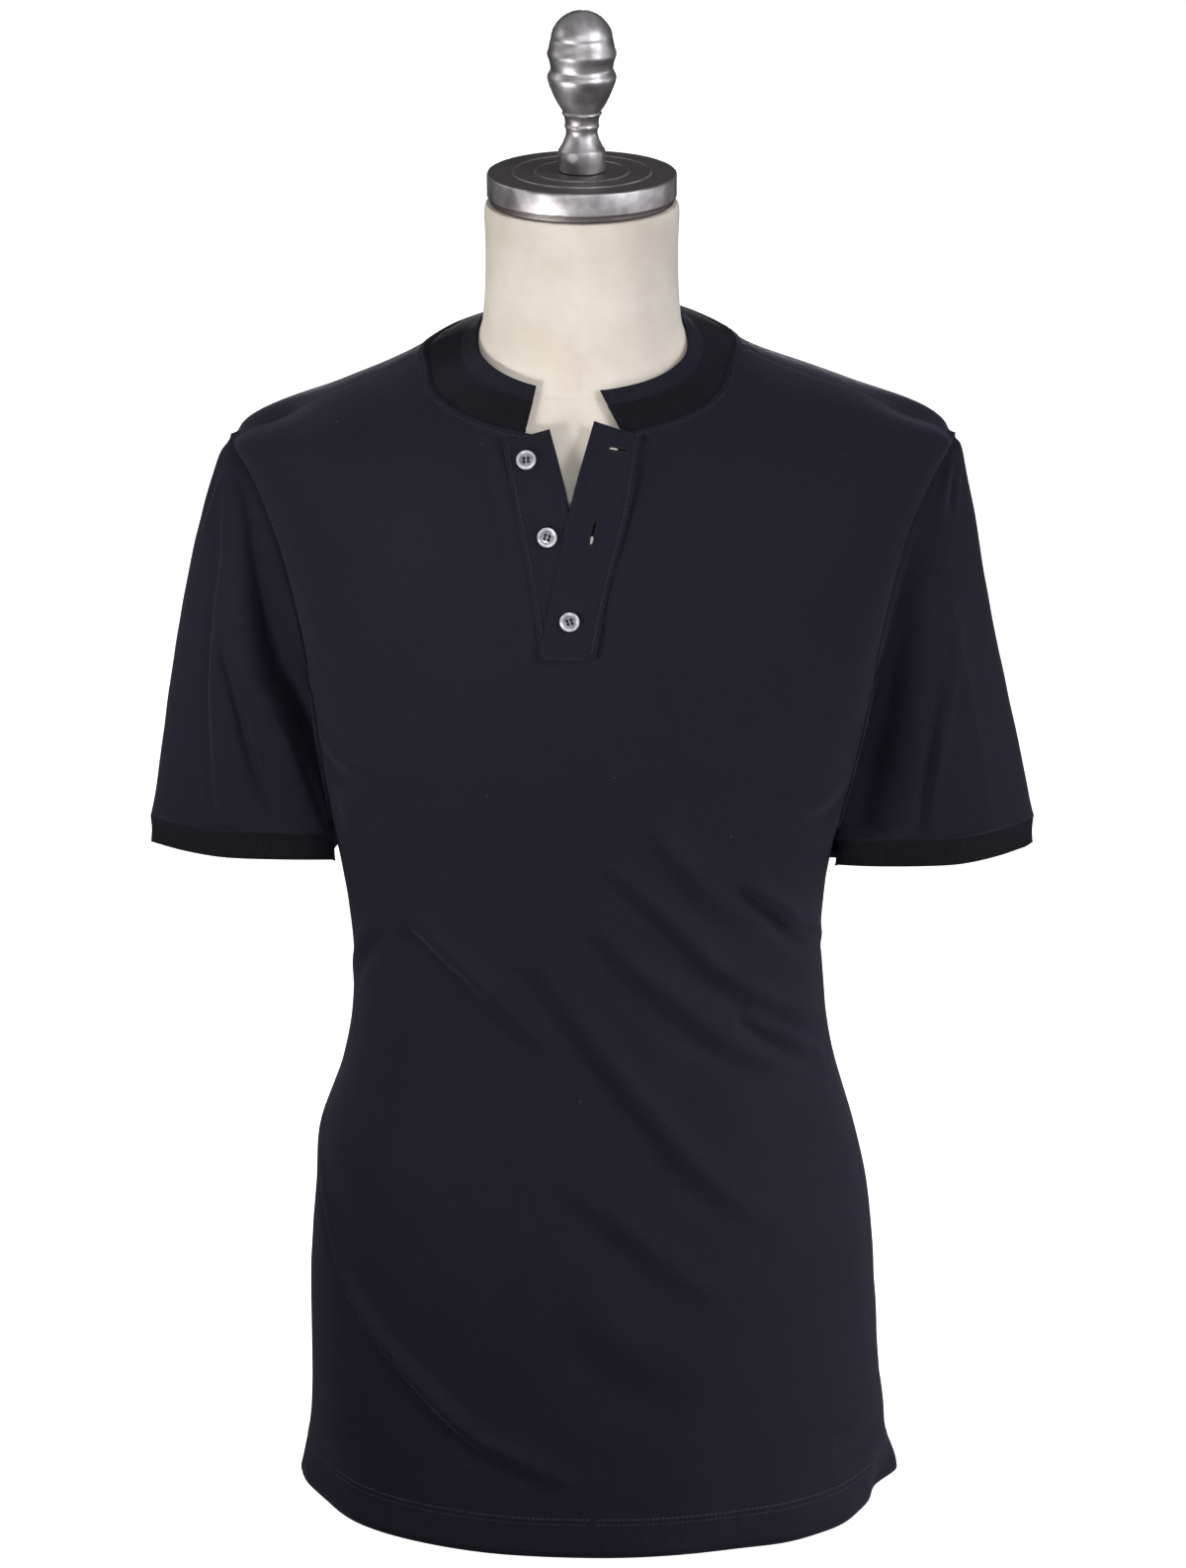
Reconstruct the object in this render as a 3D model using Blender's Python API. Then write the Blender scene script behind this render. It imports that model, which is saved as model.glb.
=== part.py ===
"""Polo shirt with a rib band collar, on a limbless tailor's dress form.

The shirt is cut and sewn: front and back panels, two set-in sleeves with rib cuffs, a band
collar, and a two-strip placket with three buttons, unbuttoned at the neck. Each sewn piece is a
wall of cloth through horizontal sections of the worn shirt. The form stands on its flat base.
Sizes are in millimetres and become metres as each mesh is made. Heights are measured from the
hem, +X is to the viewer's right, and the front faces -Y.
"""

import math

import bmesh
import bpy
from mathutils import Vector

MM = 0.001
HEM_ABOVE_TABLE = 6.0

CLOTH = 1.8  # wall of pique and rib
PLACKET_CLOTH = 1.2
SEAM_GAP = 0.3

UNDERARM = 500.0
SHOULDER_TIP = 676.0
SLIT_FOOT = 645.0  # where the centre front starts to open
SLIT_OPENING = {-1: 15.0, 1: 17.0}  # how far each edge has moved aside at the neck
BACK_LEVEL = 685.0  # height of the back's centre in the row of the shoulder tips
FRONT_NECK = 694.0
BACK_NECK = 740.0
NECK_POINT = {-1: 721.0, 1: 727.0}  # where the shoulder seam meets the collar, left and right
FRONT_CENTRE = -13.0  # the worn front has slipped to one side at the placket

# height, half_width, front, back, exponent, lean: horizontal sections of the worn shirt
SHIRT_SECTIONS = (
    (0, 182.5, 137, 131, 2.1, 1),
    (28, 179.5, 134, 130, 2.1, 4),
    (63, 176, 130, 128, 2.2, 2),
    (103, 175, 126, 127, 2.2, 1),
    (143, 174, 124, 126, 2.2, 0),
    (194, 169, 119, 122, 2.2, 0),
    (221, 165, 116, 119, 2.2, -2),
    (247, 158, 113, 116, 2.2, -2),
    (273, 150, 111, 112, 2.25, -2),
    (299, 145, 109, 109, 2.25, -2),
    (350, 142, 108, 106, 2.3, -3),
    (388, 145, 110, 108, 2.3, -4),
    (414, 149.5, 112, 110, 2.3, -4),
    (448, 157, 115, 112, 2.35, -3),
    (478, 163, 118, 115, 2.4, -2),
    (500, 167.5, 120, 116, 2.4, -1),
    (533, 174, 121, 118, 2.4, 0),
    (568, 182, 120, 119, 2.35, 0),
    (598, 190, 118, 119, 2.3, 0),
    (628, 199, 114, 117, 2.2, 0),
    (653, 207, 108, 114, 2.1, 0.5),
    (676, 213, 101, 109, 2.0, 1.5),
    (685, 190, 97, 106, 2.0, 6),
    (695, 160, 91, 102, 2.0, 2),
    (707, 129, 82, 97, 2.0, 0),
    (720, 97, 66, 88, 2.0, -3),
    (727, 89.5, 61, 83, 2.0, -5),
    (745, 78, 54, 73, 2.0, -5),
)

# height, angle: how far round each section the armhole edge lies, 90 at the side seam
ARMHOLE = ((500, 90), (512, 82), (535, 75), (575, 72), (615, 72), (645, 76), (665, 83), (676, 90))

# panel, x1, height1, x2, height2, depth, width: soft troughs in the cloth, ridges if negative
FOLDS = (
    ("front", 140, 300, 35, 385, 3.0, 12),
    ("front", -110, 352, -26, 268, 3.0, 17),
    ("front", -30, 272, 50, 150, 3.2, 18),
    ("front", -164, 160, -58, 30, 3.5, 14),
    ("front", -15, 325, 75, 185, 2.4, 14),
    ("back", 128, 352, 20, 300, 3.0, 16),
    ("back", -132, 330, -15, 285, 3.2, 16),
    ("back", -120, 280, 30, 215, 2.6, 18),
    ("back", 150, 130, 60, 40, 2.8, 16),
)

# height, under_left, under_right, over_left, over_right: edges of the two placket strips
PLACKET_EDGES = (
    (567, -29.5, 0.5, -31, 1.5),
    (612, -36.5, -6.5, -22.5, 10.5),
    (655, -45, -13, -13, 22),
    (697, -54, -24.5, -0.5, 29.5),
    (704, -56, -27, 2, 31),
)
PLACKET_FOOT = 567.0
# x, height of the free top corner of the strip on each side; its top edge falls away from there
PLACKET_CORNER = {-1: (-24.0, 697.5), 1: (0.0, 702.0)}
PLACKET_FALL = 0.28
PLACKET_OVERLAP = 8.5  # the over strip rides on the under strip to this far past its edge
PLACKET_ROWS = 10
PLACKET_COLUMNS = 6

# side, cuff_inner, cuff_outer, cuff_height, half_depth, front_rise, back_drop, inner_drop,
# fullness
SLEEVES = (
    (-1, 158.0, 268.0, 430.0, 48.0, 9.0, 8.0, 6.5, 0.22),
    (1, 151.0, 268.0, 430.0, 48.0, 4.0, 24.0, 6.0, 0.06),
)
CUFF_HEIGHT = 16.0
CUFF_SEAM_GAP = 0.7
OUTER_POWER = 1.35  # the sleeve's section comes to a soft ridge outside
INNER_POWER = 0.75  # and is square towards the body
SLEEVE_CLEARANCE = 1.1
UNDERARM_REACH = 0.22  # length of the curve's first handle under the arm, as a share
CUFF_REACH = 0.30  # and of its last handle
SHOULDER_FLARE = 0.5  # how far out the outer curve runs as it leaves the shoulder
CUFF_FLARE = 0.2  # and as it reaches the cuff
HUG_FROM, HUG_FULL = 0.6, 0.8  # the turn's shares over which the sleeve lies against the body

COLLAR_END = {-1: 0.052, 1: 0.055}  # where the band stops, as a share of the front neckline
COLLAR_LEAN = {-1: 0.0, 1: 0.14}  # how far the top of each end leans to the centre, in radians
COLLAR_LEAN_SHARE = 0.18  # over this share of the front neckline
COLLAR_CENTRE = (-5.0, -11.0)
COLLAR_HALF_WIDTH = 64.5
COLLAR_EXPONENT = {-1: 2.3, 1: 1.9}  # front and back halves of its top edge
COLLAR_FRONT = 66.0
COLLAR_BACK = 62.5
COLLAR_TOP_FRONT = 718.0
COLLAR_TOP_BACK = 761.0

# name, x, height, layers: layers of placket under the button
BUTTONS = (
    ("button_top", -38.0, 680.6, 1),
    ("button_middle", -26.0, 639.0, 1),
    ("button_bottom", -13.0, 591.0, 2),
)
BUTTON_THICKNESS = 2.4
BUTTON_HOLE_RADIUS = 0.75
BUTTON_HOLE_SPACING = 2.3
# radius, height: half profile of a button, with a raised rim round a sunk middle
BUTTON_PROFILE = (
    (0.0, 0.0), (5.1, 0.0), (5.8, 0.9), (5.8, 1.9), (5.3, 2.4), (4.5, 2.1), (3.8, 1.4),
    (0.0, 1.2),
)

FORM_CENTRE = -6.0
# height, half_width, front, back, centre_y, exponent: horizontal sections of the form
FORM_SECTIONS = (
    (-6, 162, 108, 110, 0, 2.2),
    (2, 166, 112, 114, 0, 2.2),
    (40, 167, 117, 118, 0, 2.2),
    (103, 165, 115, 117, 0, 2.2),
    (160, 162, 112, 115, 0, 2.2),
    (221, 152, 105, 109, 0, 2.2),
    (273, 138, 100, 102, 0, 2.2),
    (325, 131, 97, 96, 0, 2.2),
    (388, 134, 99, 98, 0, 2.2),
    (448, 145, 104, 103, 0, 2.2),
    (500, 157, 109, 107, 0, 2.2),
    (568, 170, 110, 110, 0, 2.2),
    (628, 184, 105, 108, 0, 2.1),
    (660, 190, 98, 104, 0, 2.0),
    (674, 187, 94, 102, 0, 2.0),
    (684, 175, 90, 100, -1, 2.0),
    (695, 148, 83, 95, -2, 2.0),
    (706, 118, 74, 90, -4, 2.0),
    (714, 98, 69.5, 84, -5.5, 1.9),
    (720, 82, 65.5, 76, -7.5, 1.75),
    (726, 70, 62, 68, -9, 1.8),
    (733, 62.5, 60, 61, -10.5, 1.9),
    (742, 59, 58.5, 58, -11.5, 2.0),
    (752, 58.3, 58, 57.5, -12, 2.0),
    (768, 57.2, 57.2, 57.2, -12, 2.0),
    (795, 57, 57, 57, -12, 2.0),
    (812, 58.4, 58.4, 58.4, -12, 2.0),
    (815, 56.6, 56.6, 56.6, -12, 2.0),
)
NECK_CENTRE_Y = -12.0
NECK_TOP = 815.0

# radius, height: half profiles, heights above the piece's own foot
CAP_PROFILE = ((54, 0), (54.4, 2.6), (55.2, 3), (55.2, 4.4), (56, 5), (56, 17.4), (55, 18.6))
FINIAL_PROFILE = (
    (13.2, 0), (13.8, 1.2), (13.8, 12.6), (13, 14), (11.6, 16.6), (9.9, 20), (9.3, 23),
    (9.9, 25.8), (10.3, 27.2), (9.9, 28.6), (10.8, 33), (11.8, 34.6), (11.5, 36), (13.4, 38.4),
    (17.4, 46.7), (19.2, 51.5), (20.4, 55.6), (20.2, 57.4), (19, 60), (18.6, 63), (19.1, 66),
    (20.4, 69), (20.4, 70.8), (19.3, 74.4), (18.6, 79.2), (16.5, 85), (13.2, 89.8), (8.4, 93.6),
    (3, 95.4),
)

BODY_ROWS = 15
ARMHOLE_ROWS = 8
SHOULDER_ROWS = 4
HALF_COLUMNS = 12
SLEEVE_ROWS = 8
FORM_COLUMNS = 36


class Curve:
    """A smooth curve through table points that never overshoots them."""

    def __init__(self, places, values):
        self.places = [float(p) for p in places]
        self.values = [float(v) for v in values]
        steps = [b - a for a, b in zip(self.places, self.places[1:])]
        slopes = [(b - a) / s for a, b, s in zip(self.values, self.values[1:], steps)]
        self.tangents = [slopes[0]]
        for left, right, low, high in zip(steps, steps[1:], slopes, slopes[1:]):
            if low * high <= 0:
                self.tangents.append(0.0)
            else:
                first = 2 * right + left
                second = right + 2 * left
                self.tangents.append((first + second) / (first / low + second / high))
        self.tangents.append(slopes[-1])

    def at(self, place):
        place = min(max(place, self.places[0]), self.places[-1])
        index = 0
        while index < len(self.places) - 2 and place > self.places[index + 1]:
            index += 1
        step = self.places[index + 1] - self.places[index]
        t = (place - self.places[index]) / step
        low, high = self.values[index], self.values[index + 1]
        leave, arrive = self.tangents[index] * step, self.tangents[index + 1] * step
        return (
            low * (2 * t**3 - 3 * t**2 + 1)
            + leave * (t**3 - 2 * t**2 + t)
            + high * (3 * t**2 - 2 * t**3)
            + arrive * (t**3 - t**2)
        )


def columns_of(table):
    """One curve for each column of a table, over its first column."""
    columns = list(zip(*table))
    return [Curve(columns[0], column) for column in columns[1:]]


WIDTH, FRONT, BACK, EXPONENT, LEAN = columns_of(SHIRT_SECTIONS)
ARMHOLE_ANGLE = Curve(*zip(*ARMHOLE))
PLACKET = columns_of(PLACKET_EDGES)


def mix(a, b, t):
    return a + (b - a) * t


# ---------------------------------------------------------------- the worn shirt's surface


def section_value(face, x, y, height):
    """Below 0 inside the section at this height, above 0 outside it."""
    depth = FRONT if face < 0 else BACK
    n = EXPONENT.at(height)
    across = abs(x - LEAN.at(height)) / WIDTH.at(height)
    along = abs(y) / depth.at(height)
    return across**n + along**n - 1.0


def smooth_normal(face, point):
    """The outward direction of the sections' surface at a point on it."""
    x, y, height = point
    step = 0.4
    slopes = []
    for axis in range(3):
        low = [x, y, height]
        high = [x, y, height]
        low[axis] -= step
        high[axis] += step
        slopes.append(section_value(face, *high) - section_value(face, *low))
    if abs(y) < 1e-6:
        slopes[1] = 0.0
    return Vector(slopes).normalized()


def surface_point(face, x, height):
    """The point of the front or back at this x and height."""
    depth = FRONT if face < 0 else BACK
    n = EXPONENT.at(height)
    across = min(abs(x - LEAN.at(height)) / WIDTH.at(height), 1.0)
    y = face * depth.at(height) * (1.0 - across**n) ** (1.0 / n)
    return Vector((x, y, height))


def fold_depth(panel, x, height):
    """How far the folds of a panel press in at this place."""
    total = 0.0
    for where, x1, height1, x2, height2, depth, width in FOLDS:
        if where != panel:
            continue
        run = Vector((x2 - x1, height2 - height1))
        offset = Vector((x - x1, height - height1))
        share = min(max(offset.dot(run) / run.length_squared, 0.0), 1.0)
        away = (offset - run * share).length
        fade = math.sin(math.pi * mix(0.15, 1.0, share)) ** 0.7
        total += depth * max(fade, 0.0) * math.exp(-((away / width) ** 2))
    return total


def side_height(side, row):
    """Height of a row of the panels at the side seam, armhole or shoulder seam."""
    if row <= BODY_ROWS:
        return UNDERARM * row / BODY_ROWS
    row -= BODY_ROWS
    if row <= ARMHOLE_ROWS:
        share = 0.5 - 0.5 * math.cos(math.pi * row / ARMHOLE_ROWS)
        return mix(UNDERARM, SHOULDER_TIP, mix(row / ARMHOLE_ROWS, share, 0.5))
    return mix(SHOULDER_TIP, NECK_POINT[side], (row - ARMHOLE_ROWS) / SHOULDER_ROWS)


def centre_height(neck, row):
    """Height of the same row at the centre of the panel."""
    open_row = BODY_ROWS + ARMHOLE_ROWS
    foot = SLIT_FOOT if neck == FRONT_NECK else BACK_LEVEL
    if row <= open_row:
        return side_height(1, row) * foot / SHOULDER_TIP
    return mix(foot, neck, (row - open_row) / SHOULDER_ROWS)


def slit_edge(side, height):
    """x of the centre front, which parts above the foot of the slit."""
    if height <= SLIT_FOOT:
        return FRONT_CENTRE * height / SLIT_FOOT
    share = (height - SLIT_FOOT) / (FRONT_NECK - SLIT_FOOT)
    return FRONT_CENTRE + SLIT_OPENING[side] * side * share


def edge_angle(height):
    if UNDERARM < height < SHOULDER_TIP:
        return math.radians(ARMHOLE_ANGLE.at(height))
    return math.pi / 2


def panel_point(face, side, row, share):
    """A point of the front or back: share runs from the centre, 0, to the side, 1."""
    neck = FRONT_NECK if face < 0 else BACK_NECK
    rise = math.sin(share * math.pi / 2) ** 1.25
    height = mix(centre_height(neck, row), side_height(side, row), rise)
    middle = slit_edge(side, height) if face < 0 else 0.0
    if face < 0 and row <= BODY_ROWS + ARMHOLE_ROWS:
        middle = FRONT_CENTRE * min(height / SLIT_FOOT, 1.0)
    start = math.asin((middle - LEAN.at(height)) / WIDTH.at(height))
    angle = mix(start, side * edge_angle(height), share)
    if share == 1.0:
        angle = side * edge_angle(side_height(side, row))
    x = LEAN.at(height) + WIDTH.at(height) * math.sin(angle)
    point = surface_point(face, x, height)
    if share == 1.0 and edge_angle(height) == math.pi / 2:
        point.y = 0.0
    return point


def folded(face, point):
    """The point pressed in by the folds, and its normal."""
    normal = smooth_normal(face, point)
    panel = "front" if face < 0 else "back"
    near_side = 1.0 - abs(point.x - LEAN.at(point.z)) / WIDTH.at(point.z)
    fade = min(1.0, near_side / 0.06)
    return point - normal * fold_depth(panel, point.x, point.z) * fade, normal


# ---------------------------------------------------------------- solids


def material(name, colour, roughness, metallic=0.0):
    made = bpy.data.materials.new(name)
    made.use_nodes = True
    shader = made.node_tree.nodes["Principled BSDF"]
    shader.inputs["Base Color"].default_value = (*colour, 1.0)
    shader.inputs["Roughness"].default_value = roughness
    shader.inputs["Metallic"].default_value = metallic
    made.diffuse_color = (*colour, 1.0)
    return made


def placed(point):
    return Vector((point[0], point[1], point[2] + HEM_ABOVE_TABLE)) * MM


def add_object(name, mesh_builder, finish):
    """Make the named object from a bmesh in millimetres."""
    for vertex in mesh_builder.verts:
        vertex.co = placed(vertex.co)
    bmesh.ops.recalc_face_normals(mesh_builder, faces=mesh_builder.faces)
    mesh = bpy.data.meshes.new(name)
    mesh_builder.to_mesh(mesh)
    mesh_builder.free()
    mesh.materials.append(finish)
    mesh.shade_smooth()
    mesh.set_sharp_from_angle(angle=math.radians(40))
    made = bpy.data.objects.new(name, mesh)
    bpy.context.scene.collection.objects.link(made)
    return made


def wall(name, points, normals, faces, finish, thickness=CLOTH):
    """A closed wall of cloth, half its thickness to each side of the points."""
    builder = bmesh.new()
    outer = [builder.verts.new(p + n * thickness / 2) for p, n in zip(points, normals)]
    inner = [builder.verts.new(p - n * thickness / 2) for p, n in zip(points, normals)]
    edges = {}
    for face in faces:
        builder.faces.new([outer[i] for i in face])
        builder.faces.new([inner[i] for i in reversed(face)])
        for a, b in zip(face, face[1:] + face[:1]):
            edges[(a, b)] = edges.get((a, b), 0) + 1
    for a, b in edges:
        if (b, a) not in edges:
            builder.faces.new([outer[b], outer[a], inner[a], inner[b]])
    return add_object(name, builder, finish)


def strip_faces(rows, columns, closed=False):
    """Quads over a grid whose points are stored row by row."""
    faces = []
    for row in range(rows - 1):
        for column in range(columns if closed else columns - 1):
            after = (column + 1) % columns
            faces.append([
                row * columns + column,
                row * columns + after,
                (row + 1) * columns + after,
                (row + 1) * columns + column,
            ])
    return faces


# ---------------------------------------------------------------- front and back panels

TOP_ROW = BODY_ROWS + ARMHOLE_ROWS + SHOULDER_ROWS
SLIT_ROW = BODY_ROWS + ARMHOLE_ROWS


def neck_across(face, side, share):
    """The direction out of a panel across its neckline, towards the collar."""
    at = panel_point(face, side, TOP_ROW, share)
    near = panel_point(face, side, TOP_ROW, max(share - 0.02, 0.0))
    far = panel_point(face, side, TOP_ROW, min(share + 0.02, 1.0))
    normal = smooth_normal(face, at)
    across = (far - near).cross(normal).normalized()
    return across if across.z > 0 else -across


def panel(name, face, finish):
    index = {}
    points = []
    normals = []
    for side in (-1, 1):
        for row in range(TOP_ROW + 1):
            for column in range(HALF_COLUMNS + 1):
                shared = column == 0 and (face > 0 or row <= SLIT_ROW)
                if shared and side > 0:
                    index[side, row, column] = index[-1, row, column]
                    continue
                share = column / HALF_COLUMNS
                point, normal = folded(face, panel_point(face, side, row, share))
                if column == HALF_COLUMNS and edge_angle(point.z) == math.pi / 2:
                    point.y += face * SEAM_GAP / 2
                if row == TOP_ROW:
                    point -= neck_across(face, side, share) * SEAM_GAP / 2
                index[side, row, column] = len(points)
                points.append(point)
                normals.append(normal)
    faces = []
    for side in (-1, 1):
        for row in range(TOP_ROW):
            for column in range(HALF_COLUMNS):
                corners = [
                    index[side, row, column],
                    index[side, row, column + 1],
                    index[side, row + 1, column + 1],
                    index[side, row + 1, column],
                ]
                faces.append(corners if side > 0 else corners[::-1])
    return wall(name, points, normals, faces, finish)


# ---------------------------------------------------------------- sleeves and cuffs


def armhole_ring(side):
    """Points of the armhole and their panel normals, from the tip down the front and back up."""
    ring = []
    rows = list(range(SLIT_ROW, BODY_ROWS - 1, -1))
    for row in rows:
        point = panel_point(-1, side, row, 1.0)
        ring.append((point, smooth_normal(-1, point)))
    for row in rows[-2:0:-1]:
        point = panel_point(1, side, row, 1.0)
        ring.append((point, smooth_normal(1, point)))
    return ring


def cuff_point(sleeve, turn):
    """A point of the sleeve's end, turn 0 outside, a quarter at the front, half at the body."""
    side, inner, outer, height, half_depth, front_rise, back_drop, inner_drop, _ = sleeve
    across = math.cos(turn * 2 * math.pi)
    forward = math.sin(turn * 2 * math.pi)
    middle = (inner + outer) / 2
    half = (outer - inner) / 2
    power = mix(OUTER_POWER, INNER_POWER, 0.5 - 0.5 * across)
    x = middle + half * math.copysign(abs(across) ** power, across)
    y = -half_depth * math.copysign(abs(forward) ** power, forward)
    tilt = front_rise * forward if forward > 0 else back_drop * forward
    return Vector((side * x, y, height + tilt - inner_drop * (0.5 - 0.5 * across)))


def beside_body(side, y, height):
    """x of a sleeve that hangs close against the body's side."""
    face = -1 if y < 0 else 1
    depth = FRONT if face < 0 else BACK
    n = EXPONENT.at(height)
    share = (1.0 - (abs(y) / depth.at(height)) ** n) ** (1.0 / n)
    return LEAN.at(height) + side * (WIDTH.at(height) * share + CLOTH + SLEEVE_CLEARANCE)


def sleeve_tube(sleeve):
    """Middle points of the sleeve, row by row from the armhole to the cuff seam."""
    side, fullness = sleeve[0], sleeve[-1]
    ring = armhole_ring(side)
    count = len(ring)
    rows = []
    for step in range(SLEEVE_ROWS + 1):
        t = (step / SLEEVE_ROWS) ** 1.25
        row = []
        for place, (seam, normal) in enumerate(ring):
            turn = place / count
            end = cuff_point(sleeve, turn)
            under = 0.5 - 0.5 * math.cos(turn * 2 * math.pi)
            swing = math.sin(turn * 2 * math.pi)
            outward = mix(SHOULDER_FLARE, 0.1, under) + 0.35 * abs(swing)
            leave = Vector((side * outward, -0.25 * swing, -0.85))
            leave.normalize()
            reach = (end - seam).length
            facing = abs(normal.dot(leave.cross(Vector((0, 1, 0))).normalized()))
            start = seam + normal * (CLOTH / 2 * (1 + facing) + SEAM_GAP * 1.4)
            arrive = Vector((side * CUFF_FLARE * math.cos(turn * 2 * math.pi), 0.0, -1.0))
            p0, p1 = start, start + leave * reach * mix(fullness, UNDERARM_REACH, under)
            p2, p3 = end - arrive * reach * CUFF_REACH, end
            point = (
                p0 * (1 - t) ** 3 + p1 * 3 * t * (1 - t) ** 2 + p2 * 3 * t**2 * (1 - t) + p3 * t**3
            )
            hug = min(max((under - HUG_FROM) / (HUG_FULL - HUG_FROM), 0.0), 1.0)
            hug *= min(1.0, t / 0.1)
            point.x = mix(point.x, beside_body(side, point.y, point.z), hug)
            row.append(point)
        rows.append(row)
    return rows


def tube_normals(rows):
    """Outward normals of a closed tube of rows of points."""
    count = len(rows[0])
    normals = []
    for step, row in enumerate(rows):
        centre = sum(row, Vector()) / count
        for place, point in enumerate(row):
            around = row[(place + 1) % count] - row[place - 1]
            below = rows[min(step + 1, len(rows) - 1)][place]
            above = rows[max(step - 1, 0)][place]
            normal = around.cross(below - above).normalized()
            normals.append(normal if normal.dot(point - centre) > 0 else -normal)
    return normals


def add_sleeve(name, sleeve, finish):
    rows = sleeve_tube(sleeve)
    normals = tube_normals(rows)
    points = [point for row in rows for point in row]
    faces = strip_faces(len(rows), len(rows[0]), closed=True)
    return wall(name, points, normals, faces, finish)


def add_cuff(name, sleeve, finish):
    """The rib band that carries on from the sleeve's end."""
    tube = sleeve_tube(sleeve)
    count = len(tube[-1])
    runs = [(end - above).normalized() for above, end in zip(tube[-2], tube[-1])]
    axis = sum(runs, Vector()).normalized()
    tops = [end + run * CUFF_SEAM_GAP for end, run in zip(tube[-1], runs)]
    rows = [[top + axis * down for top in tops] for down in (0.0, CUFF_HEIGHT / 2, CUFF_HEIGHT)]
    points = [point for row in rows for point in row]
    faces = strip_faces(len(rows), count, closed=True)
    normals = tube_normals(tube)[-count:] * len(rows)
    return wall(name, points, normals, faces, finish)


# ---------------------------------------------------------------- collar


def collar_path():
    """Lower edge of the band: front left end, round the back, to the front right end."""
    path = []
    shares = [column / HALF_COLUMNS for column in range(1, HALF_COLUMNS + 1)]
    for side, order in ((-1, 1), (1, -1)):
        front = [(-1, side, share) for share in [COLLAR_END[side]] + shares]
        back = [(1, side, share) for share in shares[-2::-1]]
        stretch = front + back + ([(1, side, 0.0)] if side < 0 else [])
        path += stretch[::order]
    return path


def add_collar(finish):
    points = []
    normals = []
    path = collar_path()
    for face, side, share in path:
        seam = panel_point(face, side, TOP_ROW, share)
        across = neck_across(face, side, share)
        lift = 1.5 * SEAM_GAP if share == COLLAR_END[side] else SEAM_GAP / 2
        foot = seam + across * lift
        centre_x, centre_y = COLLAR_CENTRE
        angle = math.atan2(seam.x - centre_x, centre_y - seam.y)
        depth = COLLAR_FRONT if abs(angle) < math.pi / 2 else COLLAR_BACK
        if face < 0:
            lean = 1.0 - (share - COLLAR_END[side]) / COLLAR_LEAN_SHARE
            angle -= side * COLLAR_LEAN[side] * max(lean, 0.0)
        sideways = abs(math.sin(angle)) / COLLAR_HALF_WIDTH
        lengthways = abs(math.cos(angle)) / depth
        power = COLLAR_EXPONENT[-1 if abs(angle) < math.pi / 2 else 1]
        radius = (sideways**power + lengthways**power) ** (-1 / power)
        top = Vector((
            centre_x + radius * math.sin(angle),
            centre_y - radius * math.cos(angle),
            mix(COLLAR_TOP_FRONT, COLLAR_TOP_BACK, 0.5 - 0.5 * math.cos(angle)),
        ))
        along = Vector((math.cos(angle), math.sin(angle), 0.0))
        stand = along.cross(top - foot).normalized()
        seam_normal = smooth_normal(face, seam)
        if stand.dot(seam_normal) < 0:
            stand = -stand
        middle = (foot + top) / 2 - stand * 1.0
        points += [foot, middle, top]
        normals += [seam_normal, stand, stand]
    return wall("collar_band", points, normals, strip_faces(len(path), 3), finish)


# ---------------------------------------------------------------- placket and buttons


def on_front(x, height, layer):
    """A point over the front panel, under the given number of placket layers, and its normal."""
    point = surface_point(-1, x, height)
    normal = smooth_normal(-1, point)
    lift = CLOTH / 2 + 2.3 * SEAM_GAP + PLACKET_CLOTH / 2 + layer * (PLACKET_CLOTH + SEAM_GAP)
    return point + normal * lift, normal


def placket_top(x, side):
    """Height of a strip's top edge, which stands up at its free corner."""
    corner, peak = PLACKET_CORNER[side]
    return peak - PLACKET_FALL * abs(x - corner)


def placket_place(left, right, side, across, up):
    """x and height of a place in a strip, settled between its slanting edges and top."""
    height = PLACKET_FOOT
    for _ in range(6):
        x = mix(left.at(height), right.at(height), across)
        height = mix(PLACKET_FOOT, placket_top(x, side), up)
    return mix(left.at(height), right.at(height), across), height


def add_placket(name, side, finish):
    left, right = PLACKET[:2] if side < 0 else PLACKET[2:]
    under_edge = PLACKET[1]
    points = []
    normals = []
    for row in range(PLACKET_ROWS):
        for column in range(PLACKET_COLUMNS):
            across = column / (PLACKET_COLUMNS - 1)
            x, height = placket_place(left, right, side, across, row / (PLACKET_ROWS - 1))
            rides = side > 0 and x < under_edge.at(height) + PLACKET_OVERLAP
            point, normal = on_front(x, height, 1 if rides else 0)
            points.append(point)
            normals.append(normal)
    faces = strip_faces(PLACKET_ROWS, PLACKET_COLUMNS)
    return wall(name, points, normals, faces, finish, PLACKET_CLOTH)


def add_button(name, x, height, layers, finish):
    """A turned disc with a raised rim, pierced by four sewing holes."""
    seat, normal = on_front(x, height, layers - 1)
    seat = seat + normal * (PLACKET_CLOTH / 2 + 1.4 * SEAM_GAP)
    made = turned(name, BUTTON_PROFILE, 20, finish, seat, normal)
    for across in (-1, 1):
        for up in (-1, 1):
            half = BUTTON_HOLE_SPACING / 2
            drill = bmesh.new()
            bmesh.ops.create_cone(
                drill, cap_ends=True, segments=8, depth=8.0,
                radius1=BUTTON_HOLE_RADIUS, radius2=BUTTON_HOLE_RADIUS,
            )
            for vertex in drill.verts:
                local = vertex.co + Vector((across * half, up * half, BUTTON_THICKNESS / 2))
                vertex.co = seat + turned_frame(normal) @ local
            cutter = add_object(f"{name}_drill_{across}_{up}", drill, finish)
            cutter.hide_render = True
            cutter.display_type = "WIRE"
            cut = made.modifiers.new("sewing hole", "BOOLEAN")
            cut.operation = "DIFFERENCE"
            cut.object = cutter
    return made


def turned_frame(axis):
    return axis.to_track_quat("Z", "Y").to_matrix()


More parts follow.
